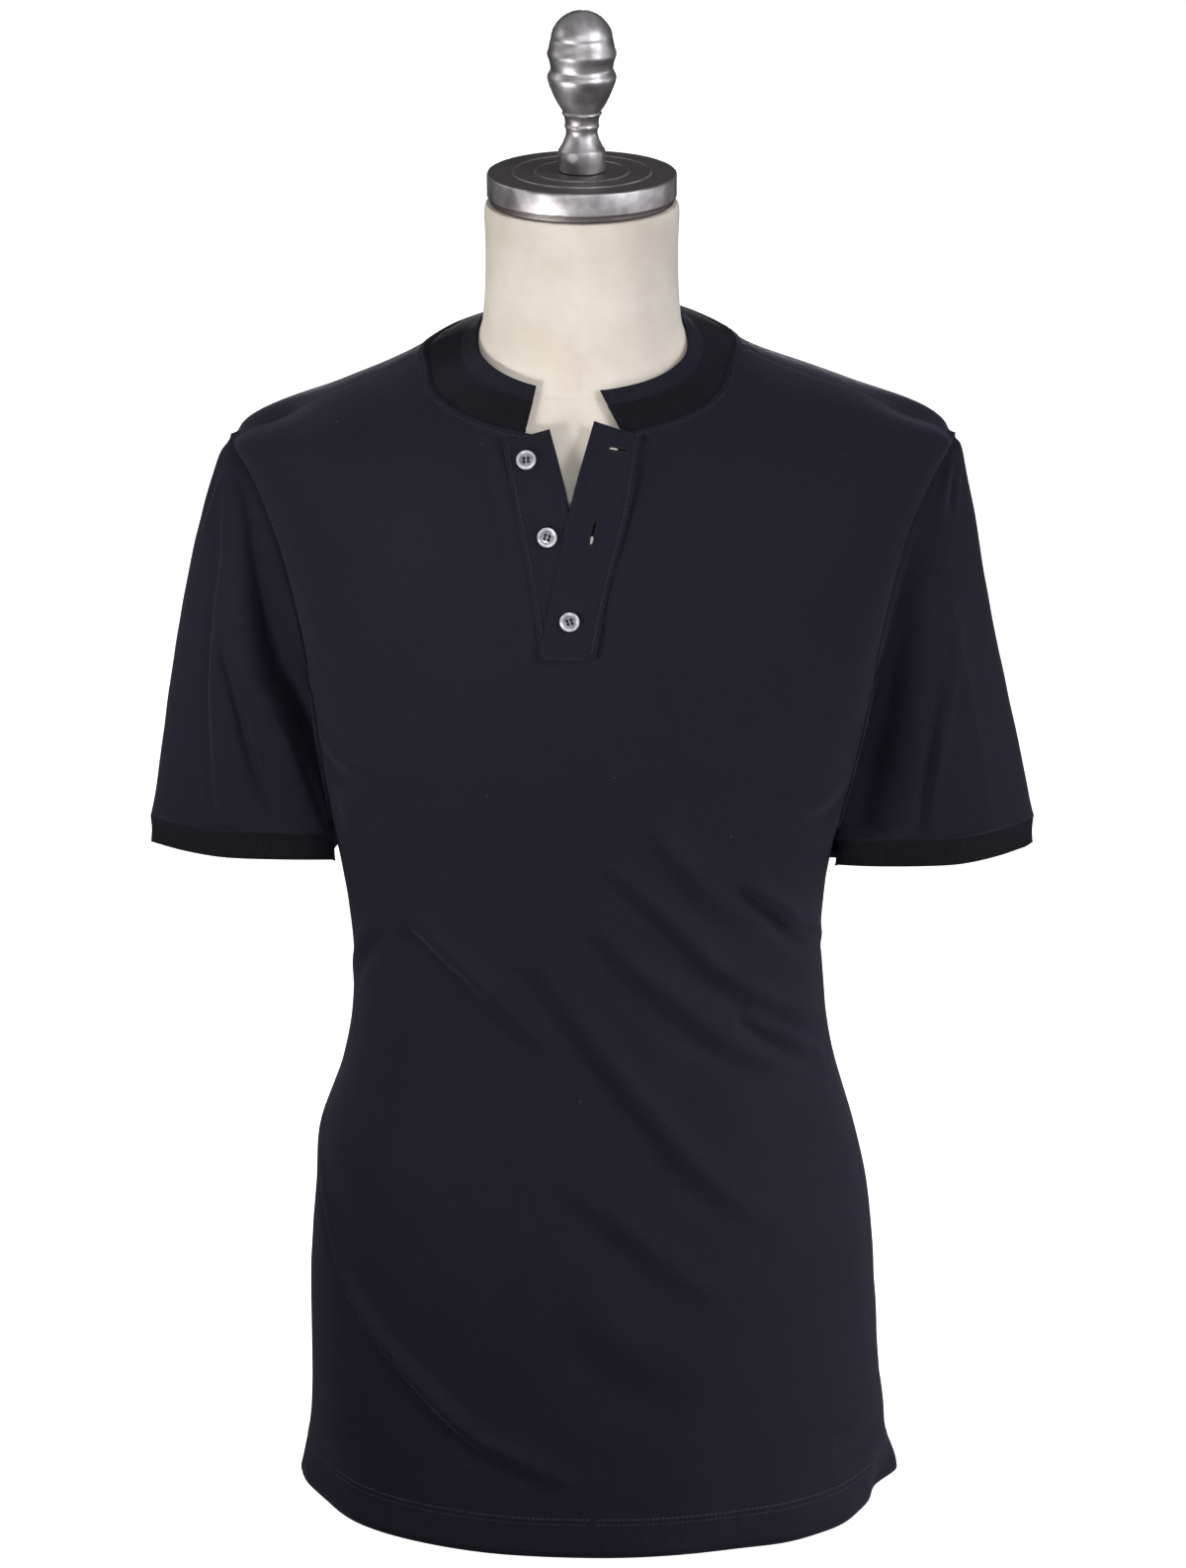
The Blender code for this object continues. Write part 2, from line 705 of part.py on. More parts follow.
def turned(name, profile, segments, finish, foot, axis=Vector((0, 0, 1))):
    """A solid of revolution of (radius, height) pairs from its foot up."""
    builder = bmesh.new()
    frame = turned_frame(axis)
    rings = []
    for radius, height in profile:
        if radius == 0.0:
            rings.append([builder.verts.new(foot + frame @ Vector((0, 0, height)))])
            continue
        ring = []
        for place in range(segments):
            angle = 2 * math.pi * place / segments
            local = Vector((radius * math.cos(angle), radius * math.sin(angle), height))
            ring.append(builder.verts.new(foot + frame @ local))
        rings.append(ring)
    for low, high in zip(rings, rings[1:]):
        for place in range(segments):
            after = (place + 1) % segments
            if len(low) == 1:
                builder.faces.new([low[0], high[place], high[after]])
            elif len(high) == 1:
                builder.faces.new([low[place], low[after], high[0]])
            else:
                builder.faces.new([low[place], low[after], high[after], high[place]])
    for ring in (rings[0], rings[-1]):
        if len(ring) > 1:
            builder.faces.new(ring)
    return add_object(name, builder, finish)


# ---------------------------------------------------------------- dress form


def add_form(finish):
    """Torso and neck as one solid on a flat base."""
    half_width, front, back, centre_y, exponent = columns_of(FORM_SECTIONS)
    heights = [row[0] for row in FORM_SECTIONS]
    builder = bmesh.new()
    rings = []
    for height in heights:
        ring = []
        for place in range(FORM_COLUMNS):
            angle = 2 * math.pi * place / FORM_COLUMNS
            depth = front if math.cos(angle) > 0 else back
            power = 2.0 / exponent.at(height)
            across = math.copysign(abs(math.sin(angle)) ** power, math.sin(angle))
            along = math.copysign(abs(math.cos(angle)) ** power, math.cos(angle))
            ring.append(builder.verts.new((
                FORM_CENTRE + half_width.at(height) * across,
                centre_y.at(height) - depth.at(height) * along,
                height,
            )))
        rings.append(ring)
    for low, high in zip(rings, rings[1:]):
        for place in range(FORM_COLUMNS):
            after = (place + 1) % FORM_COLUMNS
            builder.faces.new([low[place], low[after], high[after], high[place]])
    builder.faces.new(rings[0])
    builder.faces.new(rings[-1])
    return add_object("form_torso", builder, finish)


def build():
    for old in list(bpy.data.objects):
        bpy.data.objects.remove(old, do_unlink=True)

    pique = material("navy pique", (0.019, 0.018, 0.028), 0.85)
    rib = material("navy rib", (0.013, 0.012, 0.019), 0.9)
    smoke = material("smoke button", (0.12, 0.12, 0.125), 0.25)
    cover = material("form cover", (0.76, 0.71, 0.62), 0.8)
    metal = material("brushed metal", (0.32, 0.30, 0.31), 0.35, 1.0)

    panel("front_panel", -1, pique)
    panel("back_panel", 1, pique)
    for sleeve in SLEEVES:
        wearer = "right" if sleeve[0] < 0 else "left"
        add_sleeve(f"sleeve_{wearer}", sleeve, pique)
        add_cuff(f"cuff_{wearer}", sleeve, rib)
    add_collar(rib)
    add_placket("placket_under", -1, pique)
    add_placket("placket_over", 1, pique)
    for name, x, height, layers in BUTTONS:
        add_button(name, x, height, layers, smoke)

    add_form(cover)
    cap_foot = Vector((FORM_CENTRE, NECK_CENTRE_Y, NECK_TOP + SEAM_GAP))
    turned("neck_cap", CAP_PROFILE, 40, metal, cap_foot)
    finial_foot = cap_foot + Vector((0, 0, CAP_PROFILE[-1][1] + SEAM_GAP))
    turned("neck_finial", FINIAL_PROFILE, 28, metal, finial_foot)


build()
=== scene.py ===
"""Looks of a polo shirt on a limbless dress form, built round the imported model."""

import math

import bmesh
import bpy
import numpy as np
from mathutils import Matrix, Vector, kdtree
from mathutils.bvhtree import BVHTree


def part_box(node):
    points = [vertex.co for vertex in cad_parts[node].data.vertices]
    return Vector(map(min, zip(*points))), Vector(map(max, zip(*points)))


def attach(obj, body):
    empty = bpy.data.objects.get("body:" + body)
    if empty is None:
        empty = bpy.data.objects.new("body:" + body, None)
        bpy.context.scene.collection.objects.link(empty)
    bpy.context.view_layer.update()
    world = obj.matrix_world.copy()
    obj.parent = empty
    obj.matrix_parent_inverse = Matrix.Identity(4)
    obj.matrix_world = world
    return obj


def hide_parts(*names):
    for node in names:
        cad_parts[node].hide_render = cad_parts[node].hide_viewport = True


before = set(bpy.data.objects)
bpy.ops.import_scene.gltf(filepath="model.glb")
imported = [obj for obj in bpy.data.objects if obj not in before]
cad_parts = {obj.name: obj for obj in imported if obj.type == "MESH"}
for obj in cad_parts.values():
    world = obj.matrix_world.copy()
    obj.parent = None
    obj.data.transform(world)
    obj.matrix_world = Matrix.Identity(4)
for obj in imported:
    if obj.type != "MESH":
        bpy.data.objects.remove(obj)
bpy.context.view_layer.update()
MM = 0.001

# ---------------------------------------------------------------- Studio
# Matt white paper under a dim ceiling, with an open softbox overhead. The other softboxes have
# grids, which keep their light to a cone: they stand in front for the chest and hips, at the
# sides for the edges and behind for the back. The camera looks down a little.


def colour(code):
    """A hex sRGB colour as linear red, green, blue and alpha."""
    parts = [int(code[place:place + 2], 16) / 255 for place in (1, 3, 5)]
    return (*(p / 12.92 if p <= 0.04045 else ((p + 0.055) / 1.055) ** 2.4 for p in parts), 1.0)


def add_node(material, kind, inputs={}, ramp=(), **settings):
    """Add a node with its settings and ramp colours, and give each input a value or a link."""
    made = material.node_tree.nodes.new(kind)
    for name, value in settings.items():
        setattr(made, name, value)
    for name, value in inputs.items():
        if isinstance(value, bpy.types.NodeSocket):
            material.node_tree.links.new(value, made.inputs[name])
        else:
            made.inputs[name].default_value = value
    for number, (position, code) in enumerate(ramp):
        made.color_ramp.elements[number].position = position
        made.color_ramp.elements[number].color = colour(code)
    return made


def new_material(name):
    """A material with no nodes yet."""
    made = bpy.data.materials.new(name)
    made.use_nodes = True
    made.node_tree.nodes.clear()
    return made


CAMERA_PLACE = (0.0, -4.0, 1.797)
CAMERA_PITCH = math.radians(90 - 18.53)
CAMERA_LENS = 159.8
CAMERA_SHIFT = 0.0006
FLOOR_SIZE = 30.0
PAPER_WHITE = "#F4F3F1"
# name, place, aimed at, width, height, spread of its grid in degrees, power, tint
SOFTBOXES = (
    ("softbox_left", (-1.5, -1.5, 0.15), (0.12, 0, 0.7), 0.6, 0.6, 36, 2.3, "#FFFDFA"),
    ("softbox_right", (2.4, -1.9, 1.8), (-0.12, 0, 0.7), 0.9, 1.2, 36, 3.3, "#FBFCFF"),
    ("softbox_hip", (1.5, -1.5, 0.15), (-0.12, 0, 0.05), 0.6, 0.6, 36, 1.15, "#FBFCFF"),
    ("softbox_front", (0, -3.8, 1.9), (0, 0, 0.4), 1.2, 1.2, 24, 1.6, "#FFFFFF"),
    ("edge_left", (-2.6, 0.1, 1.4), (-0.12, 0, -0.05), 0.9, 1.2, 36, 2.2, "#FFFFFF"),
    ("edge_right", (2.6, 0.1, 0.4), (-0.12, 0, -0.1), 0.9, 1.2, 36, 2.4, "#FFFFFF"),
    ("overhead", (0, -0.8, 3.2), (0, 0, 0.5), 1.5, 1.2, 180, 3.0, "#FFFFFF"),
    ("softbox_back", (0, 3.2, 0.1), (0, 0, 0.45), 1.2, 1.2, 40, 11.0, "#FFFFFF"),
)
WALL_TOP, CEILING_EDGE = 0.35, 0.75  # sines of their height above the horizon
WALL_STRENGTH, CEILING_STRENGTH = 0.03, 0.33
ROOM_TINT = "#FCFCFF"
PAPER_GRAIN = 1.11  # millimetres
PAPER_GLOW = 1.15  # it is lit by lamps of its own

camera_data = bpy.data.cameras.new("catalogue_camera")
camera_data.lens = CAMERA_LENS
camera_data.shift_x = CAMERA_SHIFT
camera_data.clip_end = 100.0
camera = bpy.data.objects.new("catalogue_camera", camera_data)
camera.location = CAMERA_PLACE
camera.rotation_euler = (CAMERA_PITCH, 0, 0)
bpy.context.scene.collection.objects.link(camera)
bpy.context.scene.camera = camera

for name, place, target, width, height, spread, power, tint in SOFTBOXES:
    lamp = bpy.data.lights.new(name, "AREA")
    lamp.shape = "RECTANGLE"
    lamp.size = width
    lamp.size_y = height
    lamp.spread = math.radians(spread)
    lamp.energy = power
    lamp.color = colour(tint)[:3]
    softbox = bpy.data.objects.new(name, lamp)
    softbox.location = place
    softbox.rotation_euler = (Vector(target) - Vector(place)).to_track_quat("-Z", "Y").to_euler()
    bpy.context.scene.collection.objects.link(softbox)

studio = bpy.data.worlds.new("studio_room")
studio.use_nodes = True
room = add_node(studio, "ShaderNodeTexCoord")
compass = add_node(studio, "ShaderNodeSeparateXYZ", {"Vector": room.outputs["Generated"]})
height_light = add_node(studio, "ShaderNodeMapRange", {
    "Value": compass.outputs["Z"], "From Min": WALL_TOP, "From Max": CEILING_EDGE,
    "To Min": WALL_STRENGTH, "To Max": CEILING_STRENGTH,
}, interpolation_type="SMOOTHSTEP")
studio.node_tree.links.new(
    height_light.outputs[0], studio.node_tree.nodes["Background"].inputs["Strength"]
)
studio.node_tree.nodes["Background"].inputs["Color"].default_value = colour(ROOM_TINT)
bpy.context.scene.world = studio
bpy.context.scene.view_settings.view_transform = "Standard"

bpy.ops.object.select_all(action="DESELECT")
bpy.ops.mesh.primitive_plane_add(size=FLOOR_SIZE, location=(0, 0, 0))
floor = bpy.context.object
floor.name = "paper_floor"
# Matt paper: no shine at all, and white to the eye wherever it is seen.
paper = new_material("matt white background paper")
grain = add_node(paper, "ShaderNodeTexNoise", {"Scale": 1 / (PAPER_GRAIN * MM), "Detail": 3.0})
paper_bump = add_node(paper, "ShaderNodeBump", {"Strength": 0.05, "Height": grain.outputs[0]})
paper_shader = add_node(paper, "ShaderNodeBsdfPrincipled", {
    "Base Color": colour(PAPER_WHITE), "Roughness": 0.9, "Normal": paper_bump.outputs[0],
    "Emission Color": colour(PAPER_WHITE), "Emission Strength": PAPER_GLOW,
})
add_node(paper, "ShaderNodeOutputMaterial", {"Surface": paper_shader.outputs[0]})
floor.data.materials.append(paper)
floor.visible_diffuse = False
floor.visible_glossy = False

# ---------------------------------------------------------------- Dress form
# A limbless torso and neck covered in unbleached cotton calico, pulled tight and sewn with one
# seam down the middle of the front and back and one round the foot of the neck. It stands on
# its flat base and the shirt hangs on its shoulders.


def merged_copy(node):
    """A CAD node's mesh with its loose triangles joined up again."""
    copy = bmesh.new()
    copy.from_mesh(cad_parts[node].data)
    bmesh.ops.remove_doubles(copy, verts=copy.verts, dist=0.01 * MM)
    return copy


def join_quads(shape):
    """Join a shape's triangles into quads across all but its sharp edges."""
    bmesh.ops.join_triangles(
        shape, faces=shape.faces, angle_face_threshold=math.radians(50),
        angle_shape_threshold=math.radians(70),
    )


def object_from(name, shape):
    """A new object at the origin that holds this mesh."""
    mesh = bpy.data.meshes.new(name)
    shape.to_mesh(mesh)
    shape.free()
    made = bpy.data.objects.new(name, mesh)
    bpy.context.scene.collection.objects.link(made)
    return made


def select_only(piece):
    """Make a piece the only selected one, and the active one."""
    bpy.ops.object.select_all(action="DESELECT")
    piece.select_set(True)
    bpy.context.view_layer.objects.active = piece


def apply_modifier(piece, kind, **settings):
    """Add one modifier with these settings and apply it."""
    select_only(piece)
    modifier = piece.modifiers.new(kind.lower(), kind)
    for name, value in settings.items():
        setattr(modifier, name, value)
    bpy.ops.object.modifier_apply(modifier=modifier.name)


def subdivide(piece, levels, **settings):
    """Make a piece finer and rounder by this many levels."""
    apply_modifier(piece, "SUBSURF", levels=levels, render_levels=levels, **settings)


def points_of(piece):
    """The places and normals of a piece's vertices, the places in millimetres."""
    count = len(piece.data.vertices)
    places, normals = np.empty(count * 3), np.empty(count * 3)
    piece.data.vertices.foreach_get("co", places)
    piece.data.vertices.foreach_get("normal", normals)
    return places.reshape(-1, 3) / MM, normals.reshape(-1, 3)


def set_points(piece, places):
    """Move a piece's vertices to these places, in millimetres."""
    piece.data.vertices.foreach_set("co", (places * MM).ravel())
    piece.data.update()


def settle(piece, node, finish):
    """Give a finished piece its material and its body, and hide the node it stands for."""
    piece.data.materials.clear()
    piece.data.materials.append(finish)
    piece.data.shade_smooth()
    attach(piece, "root")
    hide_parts(node)


FORM_SMOOTHING = 3
FORM_CREASE = math.radians(55)  # an edge that turns by more than this stays sharp
FORM_CENTRE_X = -6.0
FORM_SEAM_WIDTH = 1.1
FORM_SEAM_DEPTH = 0.45
NECK_SEAM_HEIGHT = 727.0
NECK_SEAM_TILT = 0.10
CALICO = "#D6CEC4"
CALICO_SHADE = "#C8BEB1"
CALICO_THREAD = 0.55  # spacing of the plain weave, drawn twice as coarse so that it shows
CALICO_MOTTLE = 35.7  # size of the patches where the cloth has yellowed

form_shape = merged_copy("form_torso")
join_quads(form_shape)
crease = form_shape.edges.layers.float.new("crease_edge")
for edge in form_shape.edges:
    if len(edge.link_faces) == 2 and edge.calc_face_angle() > FORM_CREASE:
        edge[crease] = 1.0
form = object_from("form_cover", form_shape)
subdivide(form, FORM_SMOOTHING)
places, normals = points_of(form)
from_middle = np.abs(places[:, 0] - FORM_CENTRE_X)
seam_height = NECK_SEAM_HEIGHT + NECK_SEAM_TILT * places[:, 1]
from_neck_seam = np.abs(places[:, 2] - seam_height)
nearest = np.minimum(from_middle, from_neck_seam)
places -= normals * (FORM_SEAM_DEPTH * np.exp(-((nearest / FORM_SEAM_WIDTH) ** 2)))[:, None]
set_points(form, places)

# Unbleached calico: a warm grey-white, quite matt, clouded with age, with a fine weave.
calico = new_material("unbleached cotton calico")
where = add_node(calico, "ShaderNodeTexCoord")
mottle = add_node(calico, "ShaderNodeTexNoise", {
    "Vector": where.outputs["Object"], "Scale": 1 / (CALICO_MOTTLE * MM), "Detail": 6.0,
    "Roughness": 0.6,
})
cover_colour = add_node(
    calico, "ShaderNodeValToRGB", {"Fac": mottle.outputs[0]},
    ramp=((0.3, CALICO_SHADE), (0.7, CALICO)),
)
threads = add_node(calico, "ShaderNodeTexNoise", {
    "Vector": where.outputs["Object"], "Scale": 1 / (CALICO_THREAD * 2 * MM), "Detail": 2.0,
})
cover_bump = add_node(calico, "ShaderNodeBump", {
    "Strength": 0.35, "Distance": 0.0003, "Height": threads.outputs[0],
})
calico_shader = add_node(calico, "ShaderNodeBsdfPrincipled", {
    "Base Color": cover_colour.outputs[0], "Roughness": 0.88, "Sheen Weight": 0.15,
    "Normal": cover_bump.outputs[0],
})
add_node(calico, "ShaderNodeOutputMaterial", {"Surface": calico_shader.outputs[0]})
settle(form, "form_torso", calico)

# ---------------------------------------------------------------- Neck cap and finial
# A turned steel cap on top of the neck with a turned finial screwed into it. The cap's side is
# brushed round, its top is left dull with two raised rings, and a rough lip runs under it.

CAP_SIDES = 128
FINIAL_SIDES = 96
# radius, height above the cap's foot: from the foot up and in over the top
CAP_PROFILE = (
    (53.6, 0.0), (54.2, 0.5), (54.4, 1.4), (54.3, 2.5), (54.8, 2.8), (55.3, 3.2), (55.3, 4.2),
    (55.5, 4.5), (56.0, 4.9), (56.0, 5.4), (56.0, 16.6), (55.8, 17.3), (55.3, 17.8),
    (54.6, 18.0), (41.6, 18.0), (40.8, 18.7), (40.4, 18.75), (40.0, 18.35), (28.2, 18.35),
    (27.4, 19.0), (27.0, 19.05), (26.6, 18.65), (13.0, 18.65), (12.0, 18.6),
)
# radius, height above the finial's foot
FINIAL_PROFILE = (
    (13.0, 0.0), (13.6, 0.4), (13.8, 1.1), (13.8, 12.4), (13.6, 13.1), (13.0, 13.9), (12.0, 15.6),
    (11.0, 17.5), (10.2, 19.5), (9.6, 21.3), (9.3, 23.0), (9.4, 24.4), (9.8, 25.6), (10.2, 26.4),
    (10.4, 27.0), (10.2, 27.6), (9.9, 28.1), (9.9, 29.0), (10.2, 31.0), (10.7, 32.8),
    (11.5, 33.9), (11.9, 34.6), (11.7, 35.2), (11.4, 35.7), (11.8, 36.6), (13.0, 38.2),
    (14.7, 41.0), (16.3, 44.2), (17.7, 47.4), (18.9, 50.4), (19.9, 53.2), (20.4, 55.4),
    (20.4, 56.8), (19.9, 58.2), (19.2, 59.4), (18.7, 60.4), (18.5, 61.2), (18.6, 62.4),
    (18.9, 64.4), (19.5, 66.6), (20.2, 68.6), (20.5, 69.9), (20.3, 71.2), (19.8, 72.6),
    (19.4, 74.2), (19.0, 76.6), (18.4, 78.6), (18.1, 79.2), (18.2, 79.9), (18.0, 81.6),
    (17.2, 84.2), (15.9, 86.8), (14.1, 89.2), (11.8, 91.4), (8.9, 93.3), (5.6, 94.7),
    (2.4, 95.3),
)
STEEL = "#CAC6C9"
STEEL_DARK = "#979295"
TOP_STEEL = "#837E7B"
LIP_STEEL = "#6E686A"
# The brush's lines, long round the cap and drawn wider than the real 0.1, so that they show.
BRUSH_LINES = (25.0, 25.0, 0.625)
TARNISH_PATCH = 11.1
CAST_PIT = 1.43  # drawn coarser than the real 0.3, so that it shows
FACING = 0.9  # a face looks a way if its normal has this much of it
LIP_HEIGHT = 4.3
TURNED_EDGE = math.radians(40)  # a turned piece is smooth but for edges sharper than this


def lathe(name, profile, foot, sides):
    """Raise a disc ring by ring through a profile of radii and heights, in millimetres."""
    bpy.ops.object.select_all(action="DESELECT")
    radius, height = profile[0]
    x, y, z = foot
    bpy.ops.mesh.primitive_circle_add(
        vertices=sides, radius=radius * MM, fill_type="NGON", location=(x, y, z + height * MM)
    )
    made = bpy.context.object
    made.name = made.data.name = name
    bpy.ops.object.transform_apply(location=True)
    bpy.ops.object.mode_set(mode="EDIT")
    bpy.ops.mesh.select_mode(type="FACE")
    bpy.ops.mesh.select_all(action="SELECT")
    for (before, low), (after, high) in zip(profile, profile[1:]):
        bpy.ops.mesh.extrude_region_move(
            TRANSFORM_OT_translate={"value": (0, 0, (high - low) * MM)}
        )
        share = after / before
        bpy.ops.transform.resize(
            value=(share, share, 1), center_override=(x, y, z + high * MM)
        )
    bpy.ops.mesh.select_all(action="SELECT")
    bpy.ops.mesh.normals_make_consistent(inside=False)
    bpy.ops.object.mode_set(mode="OBJECT")
    return made


def foot_of(node):
    """The middle of the underside of a node's box."""
    low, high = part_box(node)
    return Vector(((low[0] + high[0]) / 2, (low[1] + high[1]) / 2, low[2]))


cap_foot = foot_of("neck_cap")
cap = lathe("steel_cap", CAP_PROFILE, cap_foot, CAP_SIDES)
finial = lathe("steel_finial", FINIAL_PROFILE, foot_of("neck_finial"), FINIAL_SIDES)

# Brushed steel: fine lines round the work spread each light into a soft streak, and it has
# tarnished in patches.
brushed = new_material("brushed steel")
steel_place = add_node(brushed, "ShaderNodeTexCoord")
streak_place = add_node(brushed, "ShaderNodeMapping", {
    "Vector": steel_place.outputs["Object"],
    "Scale": tuple(1 / (size * MM) for size in BRUSH_LINES),
})
streaks = add_node(brushed, "ShaderNodeTexNoise", {
    "Vector": streak_place.outputs[0], "Scale": 1.0, "Detail": 4.0, "Roughness": 0.6,
})
tarnish = add_node(brushed, "ShaderNodeTexNoise", {
    "Vector": steel_place.outputs["Object"], "Scale": 1 / (TARNISH_PATCH * MM), "Detail": 5.0,
})
steel_colour = add_node(
    brushed, "ShaderNodeValToRGB", {"Fac": tarnish.outputs[0]},
    ramp=((0.35, STEEL_DARK), (0.65, STEEL)),
)
steel_rough = add_node(brushed, "ShaderNodeMapRange", {
    "Value": streaks.outputs[0], "To Min": 0.36, "To Max": 0.58,
})
streak_bump = add_node(brushed, "ShaderNodeBump", {
    "Strength": 0.25, "Distance": 0.0002, "Height": streaks.outputs[0],
})
brushed_shader = add_node(brushed, "ShaderNodeBsdfPrincipled", {
    "Base Color": steel_colour.outputs[0], "Metallic": 1.0,
    "Roughness": steel_rough.outputs[0], "Normal": streak_bump.outputs[0],
})
add_node(brushed, "ShaderNodeOutputMaterial", {"Surface": brushed_shader.outputs[0]})

# Dull cast steel: darker, pitted and nearly without reflections.
dull = new_material("dull cast steel")
dull_place = add_node(dull, "ShaderNodeTexCoord")
pits = add_node(dull, "ShaderNodeTexNoise", {
    "Vector": dull_place.outputs["Object"], "Scale": 1 / (CAST_PIT * MM), "Detail": 4.0,
})
dull_colour = add_node(
    dull, "ShaderNodeValToRGB", {"Fac": pits.outputs[0]},
    ramp=((0.3, LIP_STEEL), (0.7, TOP_STEEL)),
)
pit_bump = add_node(dull, "ShaderNodeBump", {
    "Strength": 0.5, "Distance": 0.0003, "Height": pits.outputs[0],
})
dull_shader = add_node(dull, "ShaderNodeBsdfPrincipled", {
    "Base Color": dull_colour.outputs[0], "Metallic": 1.0, "Roughness": 0.52,
    "Normal": pit_bump.outputs[0],
})
add_node(dull, "ShaderNodeOutputMaterial", {"Surface": dull_shader.outputs[0]})

for piece, node in ((cap, "neck_cap"), (finial, "neck_finial")):
    piece.data.materials.append(brushed)
    piece.data.materials.append(dull)
    if piece is cap:
        for face in piece.data.polygons:
            on_lip = face.center.z < cap_foot.z + LIP_HEIGHT * MM
            face.material_index = int(face.normal.z > FACING or on_lip)
    select_only(piece)
    bpy.ops.object.shade_smooth_by_angle(angle=TURNED_EDGE)
    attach(piece, "root")
    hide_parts(node)

# ---------------------------------------------------------------- Front and back panels
# Two panels of navy cotton pique, a knit with a raised diamond lattice. They are sewn together
# at the shoulders and sides and turned up and twin-stitched at the hem. The shirt is pinned in
# behind the waist, so drag lines run across the belly from both sides of the waist.

CLOTH_THICKNESS = 1.1
PANEL_SMOOTHING = 3
SHARP_TURN = math.radians(38)  # an open edge that turns by more than this has a corner
SEAM_REACH = 5.0  # coarse edges this close belong to one seam
RIM_REACH = 2.0  # and finished edges this close
REACH_ROUNDS = 4
REACH_SHARE = 0.3  # of the way that is left, in each round
SEAM_DIP = 0.3
SEAM_DIP_WIDTH = 2.6
SEAM_HOLD = 6.0  # folds fade over this distance from a seam
FINE_REACH = 3.4  # the sheet is cut finer this near to a seam or a stitch row
UNEVENNESS = 0.9  # of worn knit
UNEVEN_LENGTHS = (150, 95, 62, 41, 28, 19)
UNEVEN_SUM = 800  # what the waves add up to at about their highest
FOLD_REACH, FOLD_FADE = 40.0, 15.0  # a fold doesn't go through to the cloth behind it
FOLD_APART = 0.8  # ridge and trough lie this share of the width to each side of the path
FOLD_END = 0.8  # a fold fades along its path as this power of a half wave
PRESSED_ROUND = 0.01  # rounds the top of a pressed edge
HEM_EDGE, HEM_LIFT = 6.0, 2.0  # height of the panels' free edge, and how much it varies
HEM_TURNING = 24.0
HEM_STITCH_GAP = 3.4
# The twin needles draw the cloth in beside their rows: depth, width, how far from the row
HEM_GROOVE, HEM_GROOVE_WIDTH, HEM_GROOVE_AWAY = 0.45, 1.5, 1.6
UPPER_GROOVE = 0.27  # depth of the shallower one above the upper row
NECK_BAND = 4.2  # width of the seam's turning that stands up round the neckline
NECK_BAND_RISE = 1.2
NECK_BAND_EDGE = 0.45
NECK_FINE = 2.0  # the sheet is cut finer to this far beyond the turning
# The turning ends in a groove: its depth, its width and how far it is beyond the turning
NECK_GROOVE, NECK_GROOVE_WIDTH, NECK_GROOVE_AWAY = 0.6, 0.9, 1.0
WAVE_TURN = 0.314159  # the Wave texture's scale times its period
PIQUE_CELL = 1.8  # drawn coarser than the real 1.3, so that it shows
FIBRE = 1.2  # drawn coarser than the real 0.3, for the same reason
WEAR_PATCH = 45.0
NAVY = "#1E1C28"
# The knit's low places are painted this darker navy, as shade.
NAVY_LOW_SHADE = "#12111A"
LINT = "#5F626B"
LINT_SPACING = 30.0
LINT_SPECK = (0.010, 0.020)  # shares of the spacing between which a speck fades out
KNIT_SHEEN = "#A6A6C4"
WALL = 1.8  # the edges that join a wall's two faces are this long

